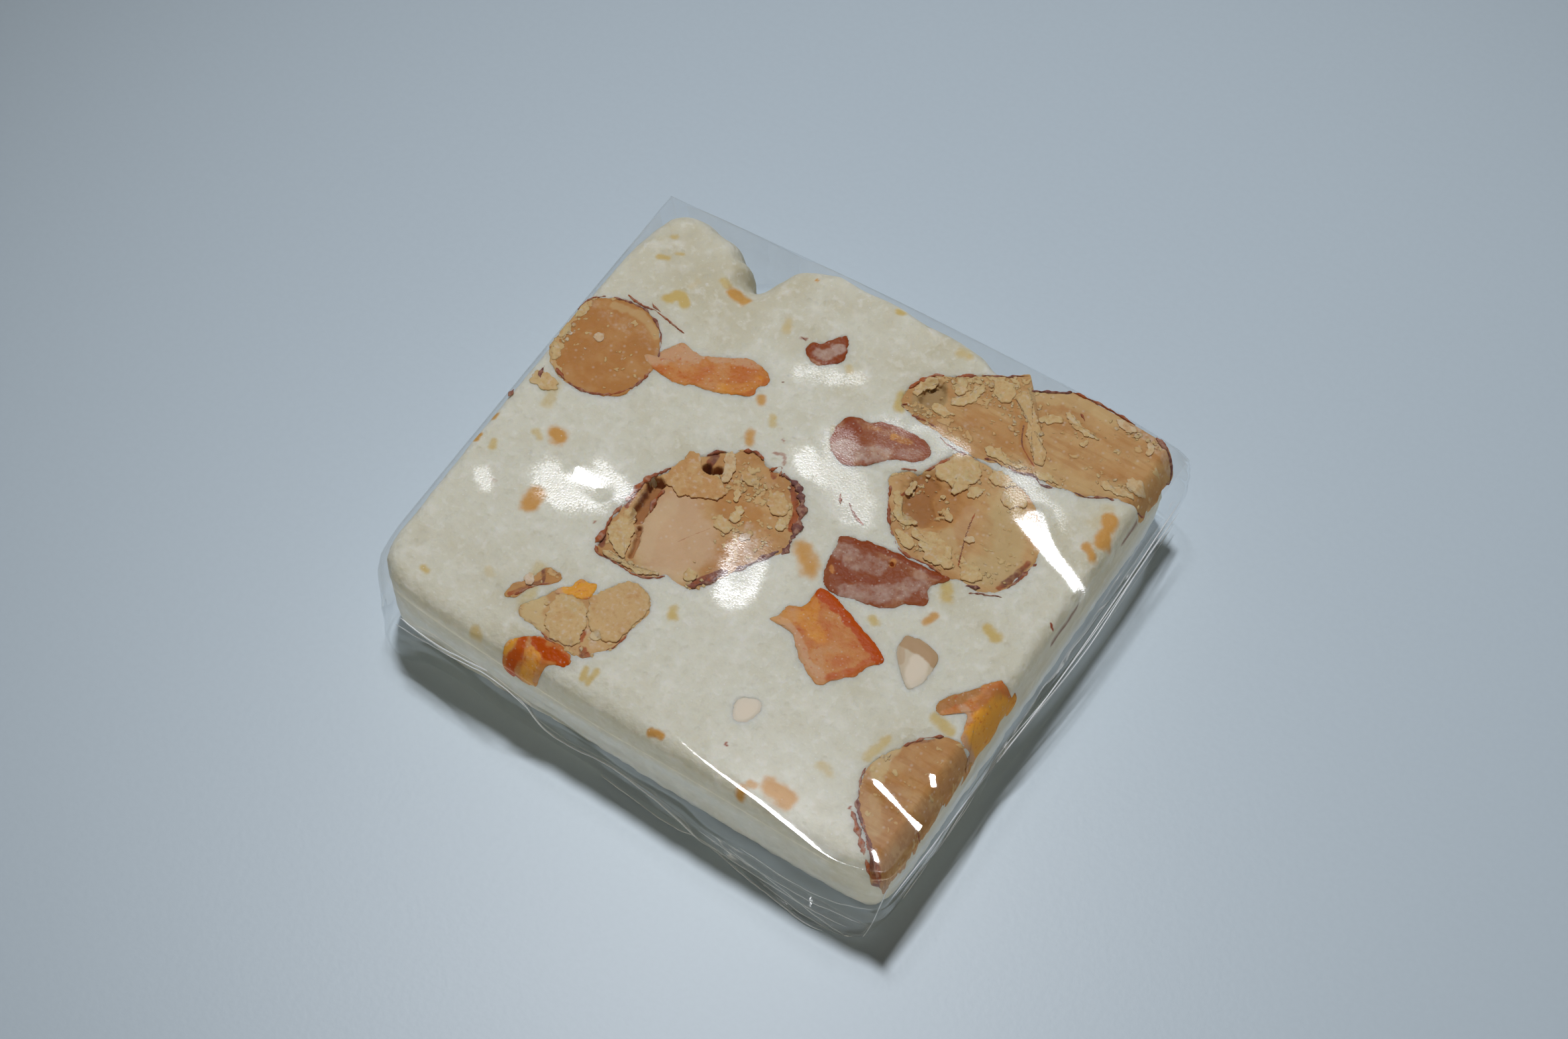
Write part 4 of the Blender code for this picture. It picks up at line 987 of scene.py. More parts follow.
def effect_group(name, inputs, outputs):
    """A shader node group with these sockets: (the group, its inputs node, its outputs node)."""
    group = bpy.data.node_groups.new(name, "ShaderNodeTree")
    for socket, kind, default in inputs:
        made = group.interface.new_socket(name=socket, in_out="INPUT", socket_type=kind)
        made.default_value = default
    for socket, kind in outputs:
        group.interface.new_socket(name=socket, in_out="OUTPUT", socket_type=kind)
    return group, group.nodes.new("NodeGroupInput"), group.nodes.new("NodeGroupOutput")


def join(tree, source, target):
    tree.links.new(source, target)


def make_grain_group():
    """Fine uneven grain over the surface, from Object coordinates."""
    group, given, made = effect_group(
        "Sweet Grain",
        (("Scale", "NodeSocketFloat", 900.0), ("Detail", "NodeSocketFloat", 3.0),
         ("Stretch", "NodeSocketVector", (1.0, 1.0, 1.0))),
        (("Value", "NodeSocketFloat"),),
    )
    place = group.nodes.new("ShaderNodeTexCoord")
    stretch = group.nodes.new("ShaderNodeVectorMath")
    stretch.operation = "MULTIPLY"
    grain = group.nodes.new("ShaderNodeTexNoise")
    join(group, place.outputs["Object"], stretch.inputs[0])
    join(group, given.outputs["Stretch"], stretch.inputs[1])
    join(group, stretch.outputs[0], grain.inputs["Vector"])
    join(group, given.outputs["Scale"], grain.inputs["Scale"])
    join(group, given.outputs["Detail"], grain.inputs["Detail"])
    join(group, grain.outputs["Fac"], made.inputs["Value"])
    return group


def make_ragged_group():
    """Breaks the edge of a soft mask with grain, as smears and stains have."""
    group, given, made = effect_group(
        "Ragged Mask",
        (("Mask", "NodeSocketFloat", 0.0), ("Scale", "NodeSocketFloat", 2500.0),
         ("Amount", "NodeSocketFloat", 0.35), ("Low", "NodeSocketFloat", 0.3),
         ("High", "NodeSocketFloat", 0.6)),
        (("Mask", "NodeSocketFloat"),),
    )
    place = group.nodes.new("ShaderNodeTexCoord")
    grain = group.nodes.new("ShaderNodeTexNoise")
    grain.inputs["Detail"].default_value = 4.0
    centre = group.nodes.new("ShaderNodeMath")
    centre.operation = "SUBTRACT"
    centre.inputs[1].default_value = 0.5
    shift = group.nodes.new("ShaderNodeMath")
    shift.operation = "MULTIPLY_ADD"
    limit = group.nodes.new("ShaderNodeMapRange")
    limit.interpolation_type = "SMOOTHSTEP"
    join(group, place.outputs["Object"], grain.inputs["Vector"])
    join(group, given.outputs["Scale"], grain.inputs["Scale"])
    join(group, grain.outputs["Fac"], centre.inputs[0])
    join(group, centre.outputs[0], shift.inputs[0])
    join(group, given.outputs["Amount"], shift.inputs[1])
    join(group, given.outputs["Mask"], shift.inputs[2])
    join(group, shift.outputs[0], limit.inputs["Value"])
    join(group, given.outputs["Low"], limit.inputs["From Min"])
    join(group, given.outputs["High"], limit.inputs["From Max"])
    join(group, limit.outputs["Result"], made.inputs["Mask"])
    return group


def make_speck_group():
    """Small scattered specks, such as sugar or bubbles."""
    group, given, made = effect_group(
        "Scattered Specks",
        (("Scale", "NodeSocketFloat", 1500.0), ("Size", "NodeSocketFloat", 0.25)),
        (("Mask", "NodeSocketFloat"),),
    )
    place = group.nodes.new("ShaderNodeTexCoord")
    cells = group.nodes.new("ShaderNodeTexVoronoi")
    limit = group.nodes.new("ShaderNodeMapRange")
    limit.inputs["To Min"].default_value = 1.0
    limit.inputs["To Max"].default_value = 0.0
    join(group, place.outputs["Object"], cells.inputs["Vector"])
    join(group, given.outputs["Scale"], cells.inputs["Scale"])
    join(group, cells.outputs["Distance"], limit.inputs["Value"])
    join(group, given.outputs["Size"], limit.inputs["From Max"])
    join(group, limit.outputs["Result"], made.inputs["Mask"])
    return group


class Finish:
    """A material being made: a Principled BSDF with short ways to add nodes to it."""

    def __init__(self, name, roughness=0.5, **constants):
        self.material = bpy.data.materials.new(name)
        self.material.use_nodes = True
        self.tree = self.material.node_tree
        self.shader = self.tree.nodes["Principled BSDF"]
        self.shader.inputs["Roughness"].default_value = roughness
        for socket, value in constants.items():
            self.shader.inputs[socket.replace("_", " ")].default_value = value

    def layer(self, name):
        node = self.tree.nodes.new("ShaderNodeAttribute")
        node.attribute_name = name
        return node.outputs["Fac"]

    def group(self, kind, output=0, **values):
        node = self.tree.nodes.new("ShaderNodeGroup")
        node.node_tree = bpy.data.node_groups[kind]
        for socket, value in values.items():
            if isinstance(value, bpy.types.NodeSocket):
                join(self.tree, value, node.inputs[socket])
            else:
                node.inputs[socket].default_value = value
        return node.outputs[output]

    def sum(self, operation, first, second, third=None):
        node = self.tree.nodes.new("ShaderNodeMath")
        node.operation = operation
        for index, value in enumerate((first, second, third)):
            if isinstance(value, bpy.types.NodeSocket):
                join(self.tree, value, node.inputs[index])
            elif value is not None:
                node.inputs[index].default_value = value
        return node.outputs[0]

    def range(self, value, low, high, to_low=0.0, to_high=1.0):
        node = self.tree.nodes.new("ShaderNodeMapRange")
        node.interpolation_type = "SMOOTHSTEP"
        join(self.tree, value, node.inputs["Value"])
        for socket, number in (("From Min", low), ("From Max", high), ("To Min", to_low), ("To Max", to_high)):
            node.inputs[socket].default_value = number
        return node.outputs["Result"]

    def mix(self, amount, first, second):
        node = self.tree.nodes.new("ShaderNodeMix")
        node.data_type = "RGBA"
        for socket, value in (("Factor_Float", amount), ("A_Color", first), ("B_Color", second)):
            target = next(item for item in node.inputs if item.identifier == socket)
            if isinstance(value, bpy.types.NodeSocket):
                join(self.tree, value, target)
            elif socket == "Factor_Float":
                target.default_value = value
            else:
                target.default_value = (*value[:3], 1.0)
        return next(item for item in node.outputs if item.identifier == "Result_Color")

    def colour(self, source):
        join(self.tree, source, self.shader.inputs["Base Color"])

    def bump(self, height, distance, strength=1.0):
        node = self.tree.nodes.new("ShaderNodeBump")
        node.inputs["Distance"].default_value = distance * MM
        node.inputs["Strength"].default_value = strength
        join(self.tree, height, node.inputs["Height"])
        join(self.tree, node.outputs["Normal"], self.shader.inputs["Normal"])

    def set(self, socket, source):
        join(self.tree, source, self.shader.inputs[socket])


def nougat_finish(settings):
    """Whipped nougat: white to cream, soft light through it, stains from the nuts, fine pits, mottling that is partly
    painted light and shade, and painted sparkles.
    """
    skin = Finish("nougat_cream", 0.42, Subsurface_Weight=0.6, Subsurface_Scale=0.0014,
                  Subsurface_Radius=(1.0, 0.85, 0.62), Specular_IOR_Level=0.1)
    broad = skin.group("Sweet Grain", Scale=260.0, Detail=4.0)
    fine = skin.group("Sweet Grain", Scale=1400.0, Detail=4.0)
    creamy = skin.sum("MULTIPLY_ADD", skin.sum("SUBTRACT", broad, 0.5), 1.4, skin.layer("cream"))
    base = skin.mix(skin.range(creamy, 0.0, 1.0), settings.white, settings.cream)
    # The bright and dull spots are partly the nougat's own mottling and partly painted light and shade standing in for
    # its crumbly relief.
    middle = skin.group("Sweet Grain", Scale=620.0, Detail=5.0)
    base = skin.mix(skin.range(middle, 0.5, 0.72, 0.0, 0.5), base, settings.bright)
    base = skin.mix(skin.range(middle, 0.5, 0.3, 0.0, 0.25), base, settings.cream)
    base = skin.mix(skin.range(fine, 0.54, 0.7, 0.0, 0.5), base, settings.bright)
    base = skin.mix(skin.range(fine, 0.46, 0.3, 0.0, 0.35), base, settings.shade)
    for layer, colour in (("olive", settings.olive), ("tan", settings.tan), ("red", settings.red),
                          ("dark", settings.skin)):
        mask = skin.group("Ragged Mask", Mask=skin.layer(layer), Scale=1500.0, Amount=0.3, Low=0.08, High=1.0)
        base = skin.mix(mask, base, colour)
    # The sparkles are painted highlights: small brighter specks standing in for glints off the nougat's grains.
    sparkles = skin.group("Scattered Specks", Scale=1300.0, Size=0.1)
    base = skin.mix(skin.sum("MULTIPLY", sparkles, 0.8), base, settings.sparkle)
    skin.colour(base)
    skin.set("Roughness", skin.range(fine, 0.3, 0.7, 0.4, 0.6))
    pits = skin.group("Scattered Specks", Scale=900.0, Size=0.24)
    height = skin.sum("MULTIPLY_ADD", pits, -0.5, skin.sum("MULTIPLY_ADD", middle, 2.0, fine))
    skin.bump(skin.sum("MULTIPLY", height, skin.layer("face")), 0.2, 0.8)
    return skin.material


def almond_finish(settings):
    """Toasted almond: fibrous flesh, pale flakes, darker hollows with painted shade, skin stains and sugar."""
    flesh = Finish("almond_flesh", 0.5, Subsurface_Weight=0.18, Subsurface_Scale=0.0006,
                   Subsurface_Radius=(1.0, 0.55, 0.25), Specular_IOR_Level=0.08)
    broad = flesh.group("Sweet Grain", Scale=420.0, Detail=4.0)
    fine = flesh.group("Sweet Grain", Scale=2600.0, Detail=4.0)
    streak = flesh.group("Sweet Grain", Scale=1300.0, Detail=3.0, Stretch=(0.2, 1.6, 1.0))
    base = flesh.mix(flesh.layer("hue"), settings.flesh, settings.toasted)
    base = flesh.mix(flesh.range(broad, 0.4, 0.65, 0.0, 0.4), base, settings.fibre)
    base = flesh.mix(flesh.range(broad, 0.5, 0.35, 0.0, 0.25), base, settings.flesh)
    base = flesh.mix(flesh.sum("MULTIPLY", flesh.range(streak, 0.45, 0.62, 0.0, 0.7), flesh.layer("fibres")),
                     base, settings.fibre)
    # The hollow colour is partly the darker flesh in the hollows and partly painted shade; on the back almond the grey
    # layer lies in the hollow and paints shade there too.
    for layer, colour, most in (("toast", settings.toasted, 0.8), ("pale", settings.flake, 0.8),
                                ("smooth", settings.smooth, 0.8), ("hollow", settings.hollow, 0.85),
                                ("grey", settings.grey, 0.8)):
        base = flesh.mix(flesh.range(flesh.layer(layer), 0.1, 1.0, 0.0, most), base, colour)
    flaked = flesh.group("Ragged Mask", Mask=flesh.layer("torn"), Scale=3200.0, Amount=0.9, Low=0.3, High=0.7)
    base = flesh.mix(flesh.sum("MULTIPLY", flaked, 0.75), base,
                     flesh.mix(flesh.range(broad, 0.4, 0.6), settings.flake, settings.crust))
    dusty = flesh.group("Scattered Specks", Scale=1400.0, Size=0.24)
    base = flesh.mix(flesh.sum("MULTIPLY", dusty, 0.45), base, settings.sugar)
    stained = flesh.group("Ragged Mask", Mask=flesh.layer("stain"), Scale=1800.0, Amount=0.9, Low=0.35, High=0.85)
    base = flesh.mix(stained, base, flesh.mix(flesh.range(broad, 0.4, 0.6), settings.red_skin, settings.skin))
    frosted = flesh.group("Ragged Mask", Mask=flesh.layer("frost"), Scale=2200.0, Amount=0.9, Low=0.3, High=1.3)
    base = flesh.mix(frosted, base, settings.sugar)
    flesh.colour(base)
    flesh.set("Roughness", flesh.range(fine, 0.3, 0.7, 0.4, 0.65))
    height = flesh.sum("MULTIPLY_ADD", flaked, 0.5, fine)
    height = flesh.sum("MULTIPLY_ADD", streak, 0.4, height)
    flesh.bump(height, 0.07, 0.8)
    return flesh.material


def skin_finish(settings):
    """Papery almond skin, red brown to purple."""
    skin = Finish("almond_skin", 0.55, Specular_IOR_Level=0.1)
    fine = skin.group("Sweet Grain", Scale=2200.0, Detail=4.0)
    broad = skin.group("Sweet Grain", Scale=900.0, Detail=2.0)
    tone = skin.sum("MULTIPLY_ADD", skin.sum("SUBTRACT", broad, 0.5), 1.6, skin.layer("purple"))
    base = skin.mix(skin.range(tone, 0.0, 1.0), settings.red_skin, settings.purple_skin)
    base = skin.mix(skin.range(fine, 0.45, 0.62, 0.0, 0.7), base, settings.light_skin)
    skin.colour(base)
    skin.set("Roughness", skin.range(fine, 0.3, 0.7, 0.4, 0.7))
    skin.bump(fine, 0.05, 0.8)
    return skin.material


def crumb_finish(settings):
    """Torn plates and crumbs of almond, from sugared through pale to toasted."""
    crumb = Finish("almond_crumb", 0.5, Subsurface_Weight=0.25, Subsurface_Scale=0.0004,
                   Subsurface_Radius=(1.0, 0.7, 0.4), Specular_IOR_Level=0.08)
    fine = crumb.group("Sweet Grain", Scale=2600.0, Detail=3.0)
    broad = crumb.group("Sweet Grain", Scale=800.0, Detail=3.0)
    tone = crumb.layer("tone")
    base = crumb.mix(crumb.range(tone, 0.0, 1.0), settings.flake, settings.toasted_crust)
    base = crumb.mix(crumb.range(tone, 0.0, -1.0), base, settings.sugar)
    base = crumb.mix(crumb.range(broad, 0.42, 0.62, 0.0, 0.7), base, settings.crust)
    base = crumb.mix(crumb.range(broad, 0.5, 0.36, 0.0, 0.5), base, settings.toasted_crust)
    base = crumb.mix(crumb.range(fine, 0.52, 0.7, 0.0, 0.35), base, settings.sugar)
    base = crumb.mix(crumb.range(fine, 0.46, 0.3, 0.0, 0.3), base, settings.fibre)
    crumb.colour(base)
    crumb.bump(crumb.sum("MULTIPLY_ADD", broad, 1.5, fine), 0.08, 0.8)
    return crumb.material


def peel_finish(name, settings, first, deep):
    """Candied peel: a sticky glazed body with bands of deeper and paler colour, some sugared."""
    peel = Finish(name, 0.45, Subsurface_Weight=0.25, Subsurface_Scale=0.0006,
                  Subsurface_Radius=(1.0, 0.4, 0.12), Specular_IOR_Level=0.06)
    broad = peel.group("Sweet Grain", Scale=520.0, Detail=4.0)
    fine = peel.group("Sweet Grain", Scale=2600.0, Detail=4.0)
    base = peel.mix(peel.range(broad, 0.42, 0.62, 0.0, 0.45), first, deep)
    base = peel.mix(peel.range(broad, 0.48, 0.34, 0.0, 0.35), base, settings.pale)
    for layer, colour, most in (("pale", settings.pale, 0.85), ("amber", settings.amber, 0.9),
                                ("orange", settings.orange, 0.9), ("brown", settings.brown, 0.8),
                                ("deep", deep, 1.0)):
        mask = peel.group("Ragged Mask", Mask=peel.layer(layer), Scale=1100.0, Amount=0.5, Low=0.15, High=0.95)
        base = peel.mix(peel.sum("MULTIPLY", mask, most), base, colour)
    sugared = peel.group("Ragged Mask", Mask=peel.layer("sugar"), Scale=2400.0, Amount=1.0, Low=0.15, High=1.1)
    base = peel.mix(peel.sum("MULTIPLY", sugared, 0.5), base, settings.sugar)
    dusted = peel.group("Ragged Mask", Mask=peel.layer("sugar"), Scale=700.0, Amount=1.4, Low=0.3, High=0.9)
    base = peel.mix(peel.sum("MULTIPLY", dusted, 0.2), base, settings.sugar)
    specks = peel.group("Scattered Specks", Scale=2300.0, Size=0.24)
    base = peel.mix(peel.sum("MULTIPLY", specks, 0.5), base, settings.sugar)
    base = peel.mix(peel.range(fine, 0.42, 0.28, 0.0, 0.5), base, deep)
    peel.colour(base)
    peel.set("Roughness", peel.sum("MULTIPLY_ADD", sugared, 0.3, 0.35))
    peel.bump(peel.sum("MULTIPLY_ADD", sugared, 0.6, peel.sum("MULTIPLY_ADD", broad, 1.5, fine)), 0.09, 0.7)
    return peel.material


def nut_finish(settings):
    """A pale, close-grained nut."""
    nut = Finish("nut_kernel", 0.5, Subsurface_Weight=0.3, Subsurface_Scale=0.0008,
                 Subsurface_Radius=(1.0, 0.8, 0.55), Specular_IOR_Level=0.1)
    fine = nut.group("Sweet Grain", Scale=1600.0, Detail=3.0)
    base = nut.mix(nut.range(fine, 0.4, 0.7, 0.0, 0.3), settings.nut, settings.cream)
    base = nut.mix(nut.range(nut.layer("bare"), 0.2, 0.9), base, settings.nut_bright)
    base = nut.mix(nut.range(nut.layer("toast"), 0.2, 0.8), base, settings.nut_toasted)
    nut.colour(base)
    nut.bump(fine, 0.04, 0.4)
    return nut.material


def film_finish(settings):
    """Clear film: nothing but its gloss, sharp where it spans and scattered where it clings."""
    film = Finish("clear_film", settings.gloss, Metallic=1.0, Base_Color=(1.0, 1.0, 1.0, 1.0))
    # Both faces of the film mirror alike from outside and from inside.
    facing = film.tree.nodes.new("ShaderNodeLayerWeight")
    facing.inputs["Blend"].default_value = 0.5
    grazing = film.sum("POWER", facing.outputs["Facing"], 4.0)
    # The light that passes through the film on its way to the nougat is dimmed less than the view.
    path = film.tree.nodes.new("ShaderNodeLightPath")
    shaded = film.sum("MULTIPLY_ADD", path.outputs["Is Shadow Ray"], -0.85, 1.0)
    cling = film.layer("cling")
    fine = film.group("Sweet Grain", Scale=6500.0, Detail=2.0)
    mirror = film.sum("MULTIPLY_ADD", grazing, 1.0 - settings.mirror, settings.mirror)
    dimmed = film.sum("SUBTRACT", 1.0, film.layer("dull"))
    film.set("Alpha", film.sum("MULTIPLY", film.sum("MULTIPLY", mirror, shaded), dimmed))
    speckled = film.sum("MULTIPLY", cling, film.range(fine, 0.36, 0.6, 0.45, 1.0))
    film.set("Roughness", film.sum("MULTIPLY_ADD", speckled, settings.cling_gloss, settings.gloss))
    film.bump(film.sum("MULTIPLY", fine, cling), 0.02, 0.6)
    film.material.surface_render_method = "DITHERED"
    return film.material


# ---------------------------------------------------------------- settings


def colour_setting(name, description, default):
    return FloatVectorProperty(
        name=name, description=description, subtype="COLOR", size=3, min=0.0, max=1.0, default=default
    )


def size_setting(name, description, default):
    return FloatProperty(name=name, description=description, default=default, unit="LENGTH", precision=5)


class NougatColours(bpy.types.PropertyGroup):
    """Every colour of the sweet."""

    white: colour_setting("White", "Whipped nougat at its whitest", seen(196, 194, 180))
    # Bright and Shade are partly the nougat's own mottling and partly painted light and shade.
    bright: colour_setting("Bright", "Small bright spots in the nougat", seen(207, 205, 196))
    # Sparkle is the colour of painted highlights on the nougat's grains.
    sparkle: colour_setting("Sparkle", "Tiny sparkling grains", seen(214, 214, 210))
    shade: colour_setting("Shade", "Small dull spots in the nougat", seen(180, 177, 162))
    cream: colour_setting("Cream", "Honeyed nougat", seen(184, 178, 156))
    olive: colour_setting("Yellow stain", "Yellow-green stain in the nougat", seen(186, 164, 106))
    tan: colour_setting("Tan stain", "Buried nut crumbs", seen(186, 142, 80))
    red: colour_setting("Red speck", "Red flecks of skin", seen(140, 70, 45))
    skin: colour_setting("Skin", "Almond skin left on the flesh", seen(112, 70, 55))
    flesh: colour_setting("Almond", "Almond flesh", seen(184, 153, 108))
    toasted: colour_setting("Toasted almond", "Toasted almond flesh", seen(166, 116, 64))
    fibre: colour_setting("Fibre", "Darker fibres in the flesh", seen(156, 108, 60))
    smooth: colour_setting("Smooth almond", "Smooth inner face", seen(188, 160, 130))
    # Hollow is partly the flesh's own darker colour and partly painted shade; Greyed almond also paints shade in the
    # back almond's hollow.
    hollow: colour_setting("Hollow", "Shaded hollow in an almond", seen(140, 92, 52))
    grey: colour_setting("Greyed almond", "Greyer dry flesh", seen(152, 130, 92))
    flake: colour_setting("Flake", "Pale broken flakes", seen(187, 166, 122))
    crust: colour_setting("Crust", "Broken crust", seen(186, 154, 108))
    toasted_crust: colour_setting("Toasted crust", "Toasted torn plates", seen(178, 134, 84))
    sugar: colour_setting("Sugar", "Sugar frosting", seen(196, 184, 172))
    red_skin: colour_setting("Red skin", "Reddish almond skin", seen(150, 82, 46))
    purple_skin: colour_setting("Purple skin", "Dark purple almond skin", seen(104, 68, 64))
    light_skin: colour_setting("Light skin", "Worn skin", seen(160, 124, 104))
    orange: colour_setting("Peel", "Candied orange peel", seen(182, 124, 68))
    orange_deep: colour_setting("Deep peel", "Outer zest", seen(168, 70, 4))
    brown_peel: colour_setting("Brown peel", "Dark candied peel", seen(134, 76, 46))
    brown_deep: colour_setting("Deep brown peel", "Darkest peel", seen(128, 60, 28))
    brown: colour_setting("Peel brown", "Brown arm of the amber peel", seen(156, 110, 62))
    amber: colour_setting("Amber", "Clear amber peel", seen(206, 146, 48))
    pale: colour_setting("Pale peel", "Pale pith", seen(184, 146, 112))
    nut: colour_setting("Nut", "Pale nut", seen(186, 172, 150))
    nut_bright: colour_setting("Bright nut", "Smooth face of the nut", seen(200, 188, 170))
    nut_toasted: colour_setting("Toasted nut", "Toasted edge of the nut", seen(166, 138, 106))
    floor: colour_setting("Floor", "Pale blue-grey table top", (0.56, 0.66, 0.74))
    air: colour_setting("Air", "Soft light from all round", (1.0, 0.93, 0.78))


class NougatSizes(bpy.types.PropertyGroup):
    """The sizes and strengths a user would change."""

    grid: IntProperty(name="Slab cells", description="Cells across the slab", default=270, min=40, max=280)
    under_film: size_setting("Under film", "Gap between film and nougat", 0.00014)
    bed_depth: size_setting("Bed depth", "How deep each piece is bedded", 0.0016)
    gloss: FloatProperty(name="Film gloss", description="Roughness of the stretched film", default=0.05)
    cling_gloss: FloatProperty(name="Cling haze", description="Added roughness where it clings", default=0.3)
    mirror: FloatProperty(name="Film mirror", description="Share of light mirrored face on", default=0.077)
    key_power: FloatProperty(name="Key power", description="Key light", default=9.0, unit="POWER")
    key_size: size_setting("Key size", "Radius of the key light", 0.037)
    air_level: FloatProperty(name="Air level", description="Strength of the light all round", default=0.03)
    low_level: FloatProperty(name="Low level", description="Strength of the low light on the walls", default=2.3)


class NougatSettings(bpy.types.PropertyGroup):
    """Colours and sizes together."""

    colours: PointerProperty(type=NougatColours)
    sizes: PointerProperty(type=NougatSizes)


def settings_of(context):
    return context.scene.nougat.colours, context.scene.nougat.sizes


def finish_named(name, maker, *values):
    """The material of that name, made once."""
    for group, make in (("Sweet Grain", make_grain_group), ("Ragged Mask", make_ragged_group),
                        ("Scattered Specks", make_speck_group)):
        if group not in bpy.data.node_groups:
            make()
    return bpy.data.materials.get(name) or maker(*values)


# ---------------------------------------------------------------- the slab


def bed_sink(points, sizes):
    """How far the nougat lies lower under each piece set in it."""
    sink = np.zeros(len(points))
    rough = 0.16 * ripple(points, 0.8, 3, 2.0)
    for outline in OUTLINES.values():
        low, high = outline.min(axis=0) - 2, outline.max(axis=0) + 2
        near = np.all((points[:, :2] > low) & (points[:, :2] < high), axis=1)
        depth = inside_depth(points[near], outline) + rough[near]
        sink[near] = np.maximum(sink[near], smooth_step(depth, 0.06, 0.75))
    return sink * sizes.bed_depth / MM


def round_sizes(points):
    """(way in, way out, height) in mm of the slab's rounded top edge, wide on the shaded sides."""
    front = smooth_step(-points[:, 1], 15, 21)
    right = smooth_step(points[:, 0], 19, 23)
    notch = smooth_step(points[:, 1], 14, 18) * smooth_step(-points[:, 0], 8, 12)
    way_in = 0.7 + 0.4 * notch
    way_out = 0.25 + 0.25 * np.maximum(front, right) + 0.8 * notch
    return way_in, way_out, 1.0 + 0.5 * np.maximum(front, right) + 2.8 * notch


def solid_roof(points):
    """The height of the film's top, kept under the slant of the key light at the shaded edges."""
    low = np.minimum((26.6 - points[:, 0]) / 0.278, (points[:, 1] + 25.6) / 0.335)
    high = film_roof(points)
    gap = low - high
    return np.where(gap > 2.4, high, np.where(gap < -2.4, low, low - (gap + 2.4) ** 2 / 9.6))


def slab_roof(points, sizes):
    """The nougat's top before anything is bedded in it."""
    depth = np.maximum(inside_depth(points, SLAB_OUTLINE), 0)
    x, y = points[:, 0], points[:, 1]
    way_in, way_out, height = round_sizes(points)
    turn = np.clip((way_in - depth) / (way_in + way_out), 0, 1)
    lumps = 0.05 * ripple(points, 4.0, 2, 1.0) + 0.045 * ripple(points, 1.1, 4, 8.0)
    # The film touches the nougat's crests and stands clear of its low places.
    hollow = 0.12 * smooth_step(ripple(points, 6.5, 1, 15.0), 0.1, 0.8)
    notch = 1.0 * smooth_step(-np.hypot(x + 14.2, y - 17.8), -2.8, -0.4)
    return film_roof(points) - sizes.under_film / MM - height * (1 - np.sqrt(1 - turn**2)) + lumps - hollow - notch


def build_slab(context):
    colours, sizes = settings_of(context)
    shape, flat = sheet_over(SLAB_CURVES, sizes.grid, int(sizes.grid * 0.9))
    height = slab_roof(flat, sizes) - bed_sink(flat, sizes)
    set_points(shape, np.column_stack([flat, height]))

    def ring(share):
        def place(order):
            away = outward(order)
            way_in, way_out, height = round_sizes(order)
            first = np.arcsin(way_in / (way_in + way_out))
            part = min(share / 0.35, 1.0)
            turn = first + (math.pi / 2 - first) * part
            offset = (way_in + way_out) * np.sin(turn) - way_in
            level = order[:, 2] + height * (np.cos(turn) - np.cos(first))
            below = max((share - 0.35) / 0.65, 0.0)
            level = level * (1 - below) + 0.12 * below
            front = smooth_step(-order[:, 1], 20, 22.5)
            rough = ripple(np.column_stack([order[:, :2], level * 1.6]), 1.6, 3, 30.0)
            offset = offset - (0.2 + 0.3 * front) * below + 0.12 * rough * part
            offset = offset - 0.5 * smooth_step(np.array([share]), 0.85, 1.0)[0]
            return np.column_stack([order[:, :2] + away * offset[:, None], level])
        return place

    add_skirt(shape, [ring(share) for share in np.concatenate([np.linspace(0.05, 0.35, 7), np.linspace(0.43, 1.0, 9)])])
    points = points_of(shape)
    in_face = smooth_step(points[:, 2], 7.6, 9.2)
    layers = {
        layer: marks_strength(points, STAINS, layer, 0.2, seed, 1.1) * in_face
        for layer, seed in (("tan", 1.0), ("olive", 2.0))
    }
    layers["face"] = 0.25 + 0.75 * in_face
    layers["red"] = marks_strength(points, NOUGAT_MARKS, "red", 0.14, 3.0) * in_face
    layers["dark"] = marks_strength(points, NOUGAT_MARKS, "dark", 0.14, 4.0) * np.where(
        points[:, 0] > 23.7, 1 - smooth_step(np.abs(points[:, 2] - 7.4), 0.25, 0.5), smooth_step(points[:, 2], 5.5, 7.5))
    cream = 0.12 * ripple(points, 2.4, 3, 12.0)
    for x, y, radius, strength in CREAM_ZONES:
        cream = cream + strength * np.exp(-((points[:, 0] - x) ** 2 + (points[:, 1] - y) ** 2) / radius**2)
    layers["cream"] = cream
    material = finish_named("nougat_cream", nougat_finish, colours)
    add_piece("nougat_slab", shape, material, ["wrapped_nougat"], layers)


# ---------------------------------------------------------------- almonds, peel and nuts


def piece_skirt(depth):
    """Rings that carry a piece's border down under the nougat."""
    def ring(share):
        def place(order):
            centre = order[:, :2].mean(axis=0)
            width = 1 - 0.3 * share**2
            plan = centre + (order[:, :2] - centre) * width
            return np.column_stack([plan, order[:, 2] - depth * share])
        return place
    return [ring(share) for share in (0.12, 0.3, 0.55, 0.8, 1.0)]


def fit_inside(outline, margin):
    """The outline kept a margin inside the film."""
    depth, _, _, nearest = line_distance(outline, FILM_OUTLINE, closed=True)
    signed = inside_depth(outline, FILM_OUTLINE)
    inward = (outline - nearest) / np.maximum(depth, 1e-6)[:, None] * np.where(signed >= 0, 1, -1)[:, None]
    short = np.maximum(margin - signed, 0)
    return outline + inward * short[:, None]


def edge_wobble(outline, amount, seed, size=0.8):
    away = outward(np.column_stack([outline, np.zeros(len(outline))]))
    sway = ripple(np.column_stack([outline, np.zeros(len(outline))]), size, 3, seed)
    return outline + away * (amount * sway)[:, None]


